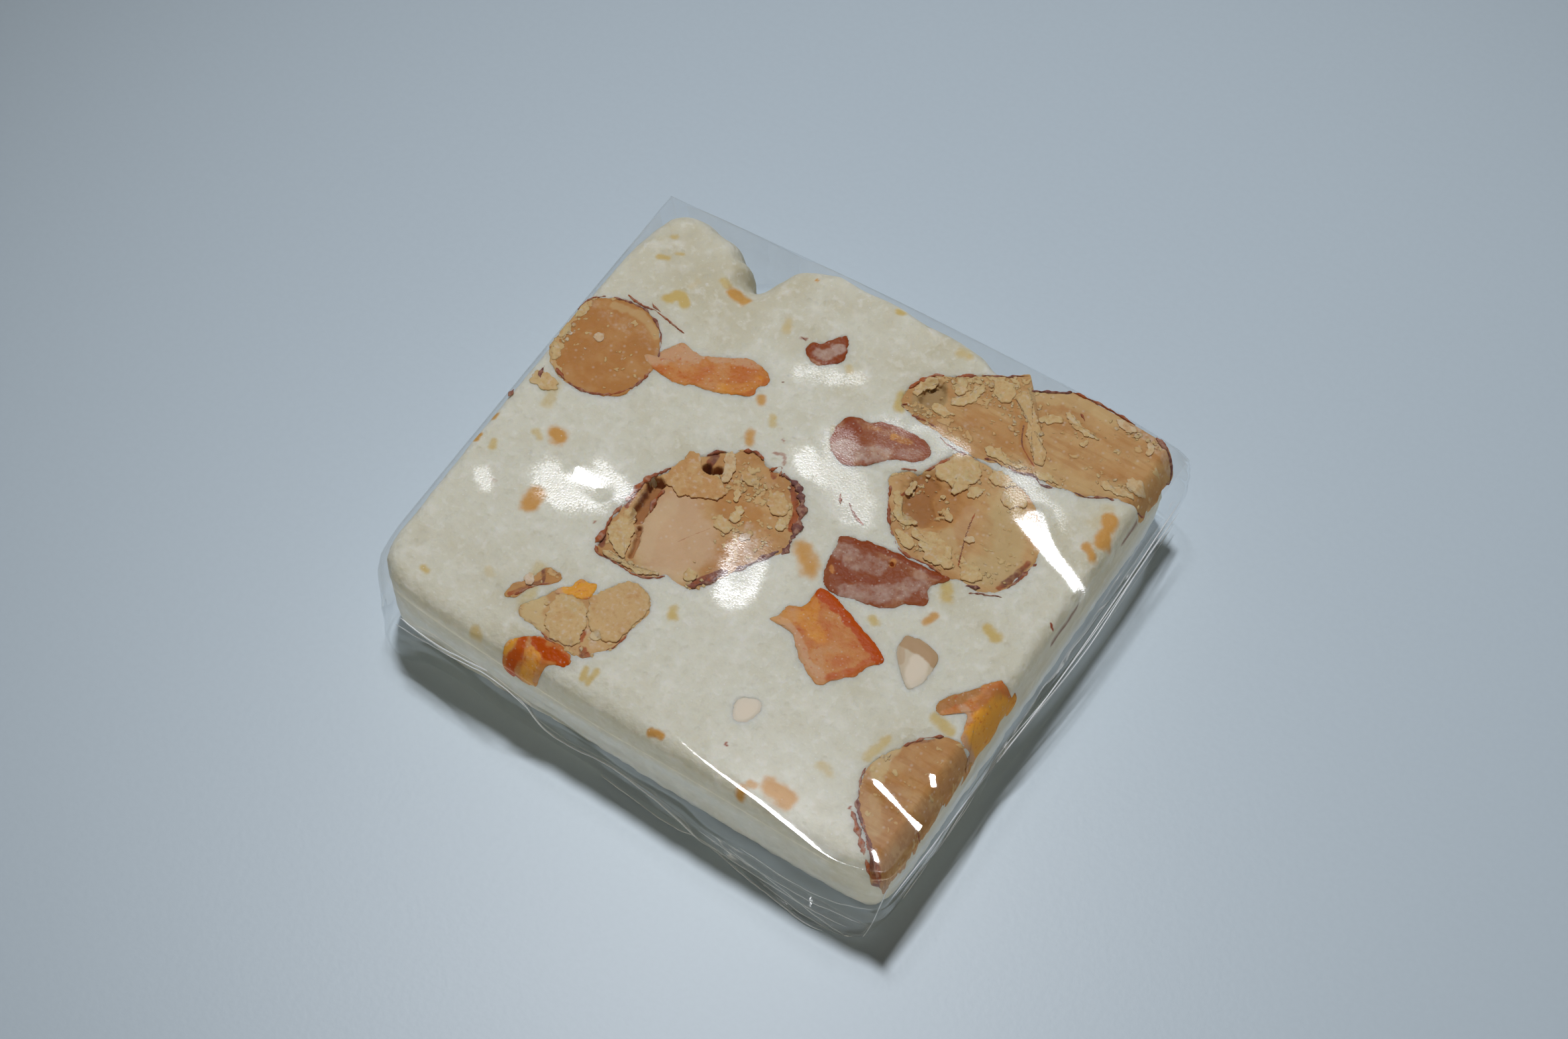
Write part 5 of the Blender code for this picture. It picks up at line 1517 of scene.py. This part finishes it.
def almond_surface(points, share, spec):
    """(height under the film, layers) of an almond's broken face."""
    seed = spec["seed"]
    layers = {layer: marks_strength(points, spec["marks"], layer, 0.22, seed + index)
              for index, layer in enumerate(ALMOND_LAYERS)}
    height = np.full(len(points), float(spec["rest"]))
    rough = ripple(points, 1.6, 3, seed)
    fine = ripple(points, 0.45, 2, seed + 9)
    calm = 1 - 0.85 * np.clip(layers["smooth"], 0, 1)
    height += (0.05 * rough + 0.02 * fine) * calm
    # Torn scales stand a little proud, in ragged islands that crowd where the flesh is flaked.
    torn = np.zeros(len(points))
    for size, bias, low in ((1.3, 0.0, 0.06), (0.6, 40.0, 0.12)):
        islands = ripple(points, size, 4, seed + bias)
        reach = islands + 1.1 * np.clip(layers["flake"], 0, 1) - 0.9 * np.clip(layers["smooth"], 0, 1) - 0.62
        torn = torn + (1 - torn) * smooth_step(reach, -0.02, low)
    layers["torn"] = torn
    height += 0.07 * torn
    height -= 0.62 * np.clip(layers["hollow"], 0, 2.2) * (1 - 0.35 * torn)
    height += 0.04 * np.clip(layers["frost"], 0, 1) * (0.5 + fine)
    height -= 0.06 * smooth_step(share, 0.94, 1.0)
    layers["hue"] = np.clip(spec["hue"] + 0.22 * rough, 0, 1)
    layers["fibres"] = np.full(len(points), spec["fibres"])
    return height, layers


ALMOND_LAYERS = ("hollow", "smooth", "flake", "grey", "stain", "frost", "pale", "toast")


def add_pad(shape, outline, height, depth, cells):
    """A patch over an outline at height(points), with a skirt of a depth: how many points it added."""
    patch, flat, _ = pad_over(outline, cells)
    set_points(patch, np.column_stack([flat, height(flat)]))
    add_skirt(patch, piece_skirt(depth))
    mesh = bpy.data.meshes.new("patch")
    patch.to_mesh(mesh)
    patch.free()
    before = len(shape.verts)
    shape.from_mesh(mesh)
    bpy.data.meshes.remove(mesh)
    return len(shape.verts) - before


def build_flesh(name, spec, material):
    outline = fit_inside(edge_wobble(OUTLINES[name], 0.16, spec["seed"]), 0.35)
    size = float(np.max(outline.max(axis=0) - outline.min(axis=0)))
    shape, flat, share = pad_over(outline, max(int(size * 9), 34))
    roof = solid_roof(flat)
    height, _ = almond_surface(flat, share, spec)
    set_points(shape, np.column_stack([flat, np.minimum(roof + height, roof - 0.06)]))
    add_skirt(shape, piece_skirt(4.0 if size > 6 else 2.0))
    points = points_of(shape)
    _, layers = almond_surface(points[:, :2], np.zeros(len(points)), spec)
    add_piece(f"{name}_flesh", shape, material, [name], layers)


def build_skin(name, spec, material):
    shape = bmesh.new()
    purple = []
    for number, (line, width, tone) in enumerate(spec["rims"]):
        before = len(shape.verts)
        line = np.clip(fit_inside(np.array(line, float), 0.25), PIECES_LOW, PIECES_HIGH)
        add_ribbon(shape, line, width, 0.3, lambda middle: solid_roof(middle) - 0.19, wander=0.08, seed=spec["seed"] + number)
        purple += [tone] * (len(shape.verts) - before)
    add_piece(f"{name}_skin", shape, material, [name], {"purple": np.array(purple)})


def build_flakes(name, spec, material):
    """Torn plates, then small crumbs lying on the almond."""
    shape = bmesh.new()
    tones = []
    for number, (outline, rest, tone) in enumerate(spec["plates"]):
        seed = spec["seed"] + 3.0 * number
        torn = edge_wobble(edge_wobble(closed_curve(outline, 0.07), 0.22, seed, 0.7), 0.1, seed + 50, 0.22)
        torn = fit_inside(torn, 0.3)
        size = float(np.max(torn.max(axis=0) - torn.min(axis=0)))

        def height(flat):
            rough = 0.05 * ripple(flat, 0.7, 3, seed)
            surface = almond_surface(flat, np.zeros(len(flat)), spec)[0]
            return solid_roof(flat) + np.clip(0.5 * (rest + surface + 0.1) + rough, surface + 0.03, -0.035)

        added = add_pad(shape, torn, height, 0.28, min(max(int(size * 8), 10), 36))
        tones += [tone] * added
    dice = random.Random(int(spec["seed"]))
    places = np.array([[dice.gauss(x, reach_x * 0.5), dice.gauss(y, reach_y * 0.5)]
                       for x, y, reach_x, reach_y, count in spec["crumbs"] for _ in range(count)])
    places = fit_inside(places, 0.5)
    places = places[inside_depth(places, OUTLINES[name]) > 0.05]
    levels = solid_roof(places) + np.minimum(almond_surface(places, np.zeros(len(places)), spec)[0] + 0.02, -0.1)
    for place, level in zip(places, levels):
        before = len(shape.verts)
        long = dice.uniform(0.12, 0.45) * (1.0 if dice.random() < 0.85 else 1.6)
        add_chip(shape, (place[0], place[1], level), long, long * dice.uniform(0.4, 0.9),
                 dice.uniform(0.05, 0.1), dice.uniform(0, math.pi), dice.uniform(-0.1, 0.1), dice)
        tones += [dice.uniform(-0.25, 0.5)] * (len(shape.verts) - before)
    add_piece(f"{name}_flakes", shape, material, [name], {"tone": np.array(tones)})


def build_almonds(context):
    colours, sizes = settings_of(context)
    flesh = finish_named("almond_flesh", almond_finish, colours)
    skin = finish_named("almond_skin", skin_finish, colours)
    crumb = finish_named("almond_crumb", crumb_finish, colours)
    for name, spec in ALMONDS.items():
        build_flesh(name, spec, flesh)
        build_skin(name, spec, skin)
        build_flakes(name, spec, crumb)


PEEL_LAYERS = ("pale", "amber", "orange", "brown", "deep", "sugar")


def build_peel(context):
    colours, sizes = settings_of(context)
    light = finish_named("candied_peel", peel_finish, "candied_peel", colours, colours.orange, colours.orange_deep)
    dark = finish_named("dark_peel", peel_finish, "dark_peel", colours, colours.brown_peel, colours.brown_deep)
    for name, spec in PEELS.items():
        outline = fit_inside(edge_wobble(OUTLINES[name], 0.12, spec["seed"]), 0.35)
        size = float(np.max(outline.max(axis=0) - outline.min(axis=0)))
        shape, flat, share = pad_over(outline, max(int(size * 8), 30))
        roof = solid_roof(flat)
        swell = 0.06 * ripple(flat, 2.2, 2, spec["seed"]) + 0.03 * ripple(flat, 0.5, 2, spec["seed"] + 4)
        pit = marks_strength(flat, spec["marks"], "pit", 0.02, spec["seed"])
        edge = 0.08 * smooth_step(share, 0.88, 1.0)
        height = roof + np.minimum(spec["rest"] + swell - edge, -0.04) - 0.5 * pit
        set_points(shape, np.column_stack([flat, height]))
        add_skirt(shape, piece_skirt(2.2))
        points = points_of(shape)
        layers = {layer: marks_strength(points, spec["marks"], layer, 0.26, spec["seed"] + index)
                  for index, layer in enumerate(PEEL_LAYERS)}
        node = "almond_chips" if name == "peel_crumb" else name
        add_piece(f"{name}_candied", shape, dark if spec["dark"] else light, [node], layers)


def build_nuts(context):
    colours, sizes = settings_of(context)
    material = finish_named("nut_kernel", nut_finish, colours)
    for name, spec in NUTS.items():
        outline = edge_wobble(OUTLINES[name], 0.06, spec["seed"])
        shape, flat, share = pad_over(outline, 36)
        roof = solid_roof(flat)
        height = roof + spec["rest"] - 0.1 * smooth_step(share, 0.7, 1.0) + 0.03 * ripple(flat, 1.2, 2, 3.0)
        set_points(shape, np.column_stack([flat, np.minimum(height, roof - 0.04)]))
        add_skirt(shape, piece_skirt(1.6))
        points = points_of(shape)
        layers = {layer: marks_strength(points, spec["marks"], layer, 0.12, spec["seed"])
                  for layer in ("toast", "bare")}
        add_piece(f"{name}_kernel", shape, material, [name], layers)


def build_threads(context):
    colours, sizes = settings_of(context)
    skin = finish_named("almond_skin", skin_finish, colours)
    shape = bmesh.new()
    purple = []
    for number, (line, width, tone) in enumerate(THREADS):
        before = len(shape.verts)
        add_ribbon(shape, fit_inside(np.array(line, float), 0.3), width, 0.16,
                   lambda middle: solid_roof(middle) - 0.16, wander=0.06, seed=90.0 + number)
        purple += [tone] * (len(shape.verts) - before)
    add_piece("loose_skin_threads", shape, skin, ["wrapped_nougat"], {"purple": np.array(purple)})


# ---------------------------------------------------------------- the film


def glint_height(points):
    """The small tilts of the film that catch the key light."""
    total = np.zeros(len(points))
    for line, start_width, end_width, fade, left_fade in GLINTS:
        curve = smooth_line(line, 5) if len(line) > 2 else np.array(line, float)
        slopes = half_slope(curve)
        steps = np.diff(curve, axis=0)
        climbs = np.concatenate([[0], np.cumsum(np.sum((slopes[1:] + slopes[:-1]) / 2 * steps, axis=1))])
        climbs -= climbs.mean()
        near = np.all((points[:, :2] > curve.min(axis=0) - 6) & (points[:, :2] < curve.max(axis=0) + 6), axis=1)
        if not near.any():
            continue
        place = points[near][:, :2]
        distance, index, share, nearest = line_distance(place, curve)
        travelled = (index + share) / (len(curve) - 1)
        width = start_width + (end_width - start_width) * travelled
        climb = climbs[index] + (climbs[index + 1] - climbs[index]) * share
        slope = slopes[index] * (1 - share)[:, None] + slopes[index + 1] * share[:, None]
        tilt = climb + np.sum(slope * (place - nearest), axis=1)
        ahead = np.diff(curve, axis=0)[index]
        offset = place - nearest
        left = ahead[:, 0] * offset[:, 1] - ahead[:, 1] * offset[:, 0] > 0
        window = 1 - smooth_step(distance, width, width + np.where(left, left_fade, fade))
        total[near] += window * tilt
    return total


def build_film(context):
    colours, sizes = settings_of(context)
    shape, flat = sheet_over(FILM_SIDES, 280, 252)
    calm = smooth_step(np.hypot(flat[:, 0] - 18, flat[:, 1] + 20), 9, 26)
    waves = (0.035 * ripple(flat, 9.0, 1, 40.0) + 0.01 * ripple(flat, 3.5, 1, 44.0)) * calm
    height = film_roof(flat) + waves + glint_height(flat)
    set_points(shape, np.column_stack([flat, height]))
    top = np.array([corner for corner, _ in CORNER_SHIFTS])
    move = np.array([shift for _, shift in CORNER_SHIFTS])

    def ring(share):
        def place(order):
            away = outward(order)
            level = order[:, 2] * (1 - share) + 0.03 * share
            # Each corner moves from its place at the top edge to its place at the base.
            near = 1 / np.maximum(np.linalg.norm(order[:, None, :2] - top[None], axis=2), 1.5) ** 3
            near /= near.sum(axis=1)[:, None]
            shift = near @ move * share
            plan = order[:, :2] + shift
            span = np.column_stack([plan, level])
            soft = math.sin(math.pi * min(share * 1.05, 1.0))
            offset = 0.14 * soft * ripple(span * (0.35, 0.35, 1.0), 2.2, 2, 60.0)
            front = smooth_step(-order[:, 1], 19, 22)
            right = smooth_step(order[:, 0], 22, 25)
            fold = ripple(span * (0.12, 0.12, 1.0), 0.8, 2, 63.0)
            offset += (0.14 * front + 0.2 * right) * soft * fold + 0.5 * right * soft
            offset -= 0.3 * max(share - 0.9, 0) / 0.1
            return np.column_stack([plan + away * offset[:, None], level])
        return place

    add_skirt(shape, [ring(share) for share in np.linspace(0.05, 1.0, 18)])
    points = points_of(shape)
    cling = np.zeros(len(points))
    wander = 0.5 * ripple(points[:, :2], 1.2, 3, 70.0)
    for line, width, strength in CLING:
        distance = line_distance(points, line)[0] + wander * min(width, 1.0)
        cling = np.maximum(cling, strength * np.exp(-np.maximum(distance, 0) ** 2 / (2 * (width * 0.75) ** 2)))
    cling *= points[:, 2] > 8.5
    dull = np.zeros(len(points))
    for line, width, strength in DULL:
        distance = line_distance(points, line)[0] + 0.5 * wander * min(width, 1.0)
        dull = np.maximum(dull, strength * (1 - smooth_step(distance, 0.4 * width, 1.2 * width)))
    dull *= points[:, 2] > 8.0
    material = finish_named("clear_film", film_finish, sizes)
    add_piece("wrap_film", shape, material, ["wrapped_nougat"], {"cling": cling, "dull": dull})
    build_flaps(material)
    build_creases()


# Loose edges of the folds: (inner line, outer line), each point (x, y, z) in mm.
FLAPS = {
    "wrap_fold_front_left": (
        ((-6.5, -23.3, 3.0), (-3.0, -23.5, 2.9), (1.0, -23.6, 2.9), (4.6, -23.6, 2.2), (8.2, -23.5, 0.7)),
        ((-6.0, -23.2, 2.4), (-2.6, -23.5, 0.5), (1.2, -23.9, 0.08), (4.6, -24.2, 0.08), (8.2, -23.6, 0.3)),
    ),
    "wrap_fold_front_right": (
        ((7.6, -23.4, 0.9), (11.4, -23.4, 1.0), (15.0, -23.4, 0.8), (19.0, -23.4, 0.7), (23.6, -23.1, 0.5)),
        ((7.8, -23.5, 0.5), (12.0, -24.3, 0.1), (16.0, -25.0, 0.08), (19.6, -25.3, 0.08), (23.4, -24.0, 0.08)),
    ),
    "wrap_fold_right": (
        ((25.2, -8.0, 3.6), (25.5, 0.0, 3.4), (25.6, 8.0, 3.2), (25.5, 15.0, 3.2), (25.2, 21.0, 3.4)),
        ((25.0, -9.0, 0.6), (25.8, 0.0, 0.1), (26.1, 8.0, 0.08), (26.0, 15.0, 0.08), (25.2, 22.0, 0.4)),
    ),
}


# Sharp creases of the film: (points (x, y, z) in mm, thickness).
CREASES = (
    (((-21.6, -23.3, 6.6), (-18.3, -23.6, 6.4), (-15.0, -23.7, 6.7), (-12.3, -23.75, 7.4)), 0.09),
    (((-22.4, -23.2, 4.6), (-17.0, -23.5, 5.4), (-11.8, -23.75, 6.5), (-8.7, -23.8, 4.9)), 0.07),
    (((-9.6, -23.8, 6.0), (-8.7, -23.8, 5.1), (-6.9, -23.8, 2.8), (-3.8, -23.8, 2.8), (-0.8, -23.9, 3.6),
      (2.1, -24.0, 3.2), (3.7, -24.1, 2.9), (6.3, -24.2, 1.8), (8.1, -24.2, 0.5), (9.4, -24.1, 0.1),
      (12.7, -24.7, 0.1), (15.6, -25.1, 0.1), (19.0, -25.5, 0.12), (20.7, -25.3, 0.12)), 0.11),
    (((-2.0, -23.6, 0.1), (1.2, -23.9, 0.1), (4.4, -24.2, 0.1), (6.3, -24.2, 0.15), (7.9, -24.1, 0.5),
      (12.0, -24.4, 0.8), (18.0, -24.6, 0.9), (22.4, -24.4, 1.1)), 0.08),
    (((11.0, -24.4, 2.6), (16.0, -24.7, 1.9), (20.0, -24.9, 1.0), (22.6, -24.8, 0.3)), 0.06),
    (((14.0, -24.5, 0.4), (18.0, -25.0, 0.3), (21.6, -24.9, 0.12), (23.0, -24.4, 0.12)), 0.06),
    (((24.9, -22.9, 8.6), (24.6, -23.3, 6.0), (24.2, -23.8, 3.0), (23.6, -24.1, 0.2)), 0.07),
    (((25.9, 21.0, 6.4), (26.0, 12.0, 6.0), (26.0, 4.0, 5.6), (25.7, -3.0, 5.0), (25.3, -7.4, 4.4),
      (25.3, -12.0, 5.2), (25.2, -18.0, 5.8), (25.0, -22.4, 6.0)), 0.08),
    (((25.7, 21.6, 3.4), (25.9, 14.0, 4.4), (26.0, 6.0, 3.8), (25.5, -2.0, 3.8), (25.1, -7.0, 3.8),
      (24.9, -14.0, 3.0), (24.6, -21.0, 2.0)), 0.07),
    (((25.4, 21.8, 1.0), (25.6, 10.0, 1.6), (25.3, 0.0, 2.0), (24.8, -6.6, 2.8), (24.8, -12.0, 4.0)), 0.06),
    (((26.0, 18.0, 5.2), (26.0, 8.0, 5.0), (25.7, 0.0, 4.7), (25.2, -7.0, 4.9), (25.3, -14.0, 4.0), (24.9, -21.0, 3.4)), 0.05),
    (((25.0, -8.0, 4.6), (25.2, -11.0, 3.4), (25.0, -15.0, 2.4), (24.7, -20.0, 1.2)), 0.06),
    (((24.0, -23.4, 4.6), (21.0, -24.1, 3.7), (17.0, -24.3, 3.2), (12.0, -24.2, 3.6)), 0.06),
    (((23.4, -24.0, 2.4), (19.0, -24.5, 2.2), (13.0, -24.4, 1.8), (8.0, -24.1, 2.0)), 0.06),
)


def crease_finish():
    """Film doubled over along a fold: whiter and less clear, partly as doubled film and partly as a painted highlight
    for the bright fold lines.
    """
    # The pale blue-white colour is partly painted highlight along the folds.
    return Finish("film_crease", 0.3, Alpha=0.75, Base_Color=(0.86, 0.9, 0.94, 1.0), Specular_IOR_Level=1.0).material


def build_creases():
    """Thin strands of doubled film along the creases."""
    material = finish_named("film_crease", crease_finish)
    shape = bmesh.new()
    for line, thick in CREASES:
        curve = smooth_line(line, 10)
        count = max(int(np.linalg.norm(np.diff(curve, axis=0), axis=1).sum() / 0.25), 8)
        shares = np.linspace(0, 1, count + 1)
        middle = at_shares(curve, shares)
        middle[:, 1] += 0.05 * ripple(middle, 1.5, 2, 85.0)
        middle[:, 2] = np.maximum(middle[:, 2] + 0.06 * ripple(middle, 2.0, 2, 87.0), 0.08)
        along = np.gradient(middle, axis=0)
        along /= np.linalg.norm(along, axis=1)[:, None]
        across = np.column_stack([along[:, 1], -along[:, 0], np.zeros(len(along))])
        across /= np.maximum(np.linalg.norm(across, axis=1), 1e-9)[:, None]
        above = np.cross(across, along)
        ends = np.minimum(1, np.minimum(shares, 1 - shares) * 12) ** 0.5 * thick * 0.75
        new = bmesh.ops.create_grid(shape, x_segments=count, y_segments=6, size=1.0)["verts"]
        for vert in new:
            step = int(round((vert.co.x + 1) / 2 * count))
            turn = (vert.co.y + 1) * math.pi
            vert.co = middle[step] + ends[step] * (across[step] * math.cos(turn) + above[step] * math.sin(turn))
        bmesh.ops.remove_doubles(shape, verts=new, dist=1e-4)
    add_piece("wrap_creases", shape, material, ["wrapped_nougat"])


def build_flaps(material):
    """Thin folds of the film that stand out at the foot of the walls."""
    for name, (inner, outer) in FLAPS.items():
        inner, outer = smooth_line(inner), smooth_line(outer)
        shape = bmesh.new()
        bmesh.ops.create_grid(shape, x_segments=70, y_segments=14, size=1.0)
        start = points_of(shape)
        u, v = (start[:, 0] + 1) / 2, (start[:, 1] + 1) / 2
        near, far = at_shares(inner, u), at_shares(outer, u)
        place = near + (far - near) * v[:, None]
        place[:, 2] += 0.1 * np.sin(math.pi * v) * ripple(place * (1, 1, 2), 1.6, 2, 80.0)
        place[:, 1] -= 0.12 * np.sin(math.pi * v) * ripple(place * (1, 1, 3), 2.1, 2, 83.0)
        set_points(shape, place)
        bmesh.ops.recalc_face_normals(shape, faces=shape.faces)
        bmesh.ops.solidify(shape, geom=shape.faces[:], thickness=0.03)
        points = points_of(shape)
        add_piece(name, shape, material, ["wrapped_nougat"], 
                  {"cling": np.zeros(len(points)), "dull": np.zeros(len(points))})


# ---------------------------------------------------------------- the stage


def build_stage(context):
    colours, sizes = settings_of(context)
    scene = context.scene
    scene.view_settings.view_transform = "Standard"

    finish = Finish("table_top", 0.38, Specular_IOR_Level=0.3)
    finish_named("none", lambda: None)
    grain = finish.group("Sweet Grain", Scale=1900.0, Detail=2.0)
    base = finish.mix(finish.range(grain, 0.3, 0.7), [c * 0.985 for c in colours.floor], colours.floor)
    finish.colour(base)
    finish.bump(grain, 0.02, 0.35)
    shape = bmesh.new()
    bmesh.ops.create_grid(shape, x_segments=4, y_segments=4, size=0.9)
    bmesh.ops.translate(shape, vec=(0, 0, -0.00001), verts=shape.verts)
    mesh = bpy.data.meshes.new("table_top")
    shape.to_mesh(mesh)
    shape.free()
    mesh.materials.append(finish.material)
    floor = bpy.data.objects.new("table_top", mesh)
    scene.collection.objects.link(floor)

    world = bpy.data.worlds.new("soft_air")
    world.use_nodes = True
    sky = world.node_tree.nodes["Background"]
    sky.inputs["Color"].default_value = (*colours.air, 1.0)
    heading = world.node_tree.nodes.new("ShaderNodeTexCoord")
    towards = world.node_tree.nodes.new("ShaderNodeVectorMath")
    towards.operation = "DOT_PRODUCT"
    towards.inputs[1].default_value = AIR_HEADING
    level = world.node_tree.nodes.new("ShaderNodeMapRange")
    level.interpolation_type = "SMOOTHSTEP"
    level.inputs["From Min"].default_value = -0.35
    level.inputs["From Max"].default_value = 0.9
    level.inputs["To Min"].default_value = sizes.air_level * 0.4
    level.inputs["To Max"].default_value = sizes.air_level * 1.9
    join(world.node_tree, heading.outputs["Generated"], towards.inputs[0])
    join(world.node_tree, towards.outputs["Value"], level.inputs["Value"])
    # A low band of light faces the walls and hardly reaches the table top.
    beside = world.node_tree.nodes.new("ShaderNodeVectorMath")
    beside.operation = "DOT_PRODUCT"
    beside.inputs[1].default_value = LOW_HEADING
    band = world.node_tree.nodes.new("ShaderNodeMapRange")
    band.inputs["From Min"].default_value = -0.1
    band.inputs["From Max"].default_value = 0.9
    height = world.node_tree.nodes.new("ShaderNodeSeparateXYZ")
    low = world.node_tree.nodes.new("ShaderNodeMapRange")
    low.inputs["From Min"].default_value = 0.05
    low.inputs["From Max"].default_value = 0.35
    low.inputs["To Min"].default_value = sizes.low_level
    low.inputs["To Max"].default_value = 0.0
    total = world.node_tree.nodes.new("ShaderNodeMath")
    total.operation = "MULTIPLY_ADD"
    join(world.node_tree, heading.outputs["Generated"], beside.inputs[0])
    join(world.node_tree, heading.outputs["Generated"], height.inputs[0])
    join(world.node_tree, beside.outputs["Value"], band.inputs["Value"])
    join(world.node_tree, height.outputs["Z"], low.inputs["Value"])
    join(world.node_tree, band.outputs["Result"], total.inputs[0])
    join(world.node_tree, low.outputs["Result"], total.inputs[1])
    join(world.node_tree, level.outputs["Result"], total.inputs[2])
    join(world.node_tree, total.outputs["Value"], sky.inputs["Strength"])
    scene.world = world

    lamp = bpy.data.lights.new("key", "SPOT")
    lamp.energy = sizes.key_power
    lamp.shadow_soft_size = sizes.key_size
    lamp.spot_size = math.radians(34)
    lamp.spot_blend = 1.0
    lamp.color = (0.95, 0.965, 1.0)
    key = bpy.data.objects.new("key", lamp)
    key.location = Vector(KEY_PLACE) * MM
    aim = Vector((0.023, 0.0, 0.0))
    key.rotation_mode = "QUATERNION"
    key.rotation_quaternion = (aim - key.location).to_track_quat("-Z", "Y")
    scene.collection.objects.link(key)

    lens = bpy.data.cameras.new("camera")
    lens.lens = 82.1
    lens.sensor_width = 36.0
    lens.clip_start, lens.clip_end = 0.01, 20.0
    camera = bpy.data.objects.new("camera", lens)
    camera.location = Vector(CAMERA_PLACE) * MM
    camera.rotation_mode = "QUATERNION"
    camera.rotation_quaternion = Vector((CAMERA_AIM - CAMERA_PLACE)).to_track_quat("-Z", "Y")
    scene.collection.objects.link(camera)
    scene.camera = camera


# ---------------------------------------------------------------- operators, panel and main


class NOUGAT_OT_stage(bpy.types.Operator):
    """Table top, soft light, key light and camera"""

    bl_idname = "nougat.stage"
    bl_label = "Stage"

    def execute(self, context):
        build_stage(context)
        return {"FINISHED"}


class NOUGAT_OT_slab(bpy.types.Operator):
    """The slab of whipped nougat with its stains and beds"""

    bl_idname = "nougat.slab"
    bl_label = "Nougat slab"

    def execute(self, context):
        build_slab(context)
        return {"FINISHED"}


class NOUGAT_OT_almonds(bpy.types.Operator):
    """Almonds with their skins and loose flakes"""

    bl_idname = "nougat.almonds"
    bl_label = "Almonds"

    def execute(self, context):
        build_almonds(context)
        return {"FINISHED"}


class NOUGAT_OT_peel(bpy.types.Operator):
    """Pieces of candied peel"""

    bl_idname = "nougat.peel"
    bl_label = "Candied peel"

    def execute(self, context):
        build_peel(context)
        return {"FINISHED"}


class NOUGAT_OT_nuts(bpy.types.Operator):
    """Pale nut pieces"""

    bl_idname = "nougat.nuts"
    bl_label = "Pale nuts"

    def execute(self, context):
        build_nuts(context)
        return {"FINISHED"}


class NOUGAT_OT_threads(bpy.types.Operator):
    """Loose threads of almond skin"""

    bl_idname = "nougat.threads"
    bl_label = "Skin threads"

    def execute(self, context):
        build_threads(context)
        return {"FINISHED"}


class NOUGAT_OT_film(bpy.types.Operator):
    """The clear film and its folds"""

    bl_idname = "nougat.film"
    bl_label = "Clear film"

    def execute(self, context):
        build_film(context)
        return {"FINISHED"}


class NOUGAT_PT_panel(bpy.types.Panel):
    """Lists the steps and the settings"""

    bl_idname = "NOUGAT_PT_panel"
    bl_label = "Wrapped Nougat"
    bl_space_type = "VIEW_3D"
    bl_region_type = "UI"
    bl_category = "Nougat"

    def draw(self, context):
        for operator in OPERATORS:
            self.layout.operator(operator.bl_idname)
        for group in settings_of(context):
            box = self.layout.box()
            for name in group.__annotations__:
                box.prop(group, name)


OPERATORS = (
    NOUGAT_OT_stage,
    NOUGAT_OT_slab,
    NOUGAT_OT_almonds,
    NOUGAT_OT_peel,
    NOUGAT_OT_nuts,
    NOUGAT_OT_threads,
    NOUGAT_OT_film,
)
CLASSES = (NougatColours, NougatSizes, NougatSettings, *OPERATORS, NOUGAT_PT_panel)


def register():
    for item in CLASSES:
        bpy.utils.register_class(item)
    bpy.types.Scene.nougat = PointerProperty(type=NougatSettings)


def unregister():
    del bpy.types.Scene.nougat
    for item in reversed(CLASSES):
        bpy.utils.unregister_class(item)


def main():
    register()
    bpy.ops.nougat.stage()
    bpy.ops.nougat.slab()
    bpy.ops.nougat.almonds()
    bpy.ops.nougat.peel()
    bpy.ops.nougat.nuts()
    bpy.ops.nougat.threads()
    bpy.ops.nougat.film()


if __name__ == "__main__":
    main()
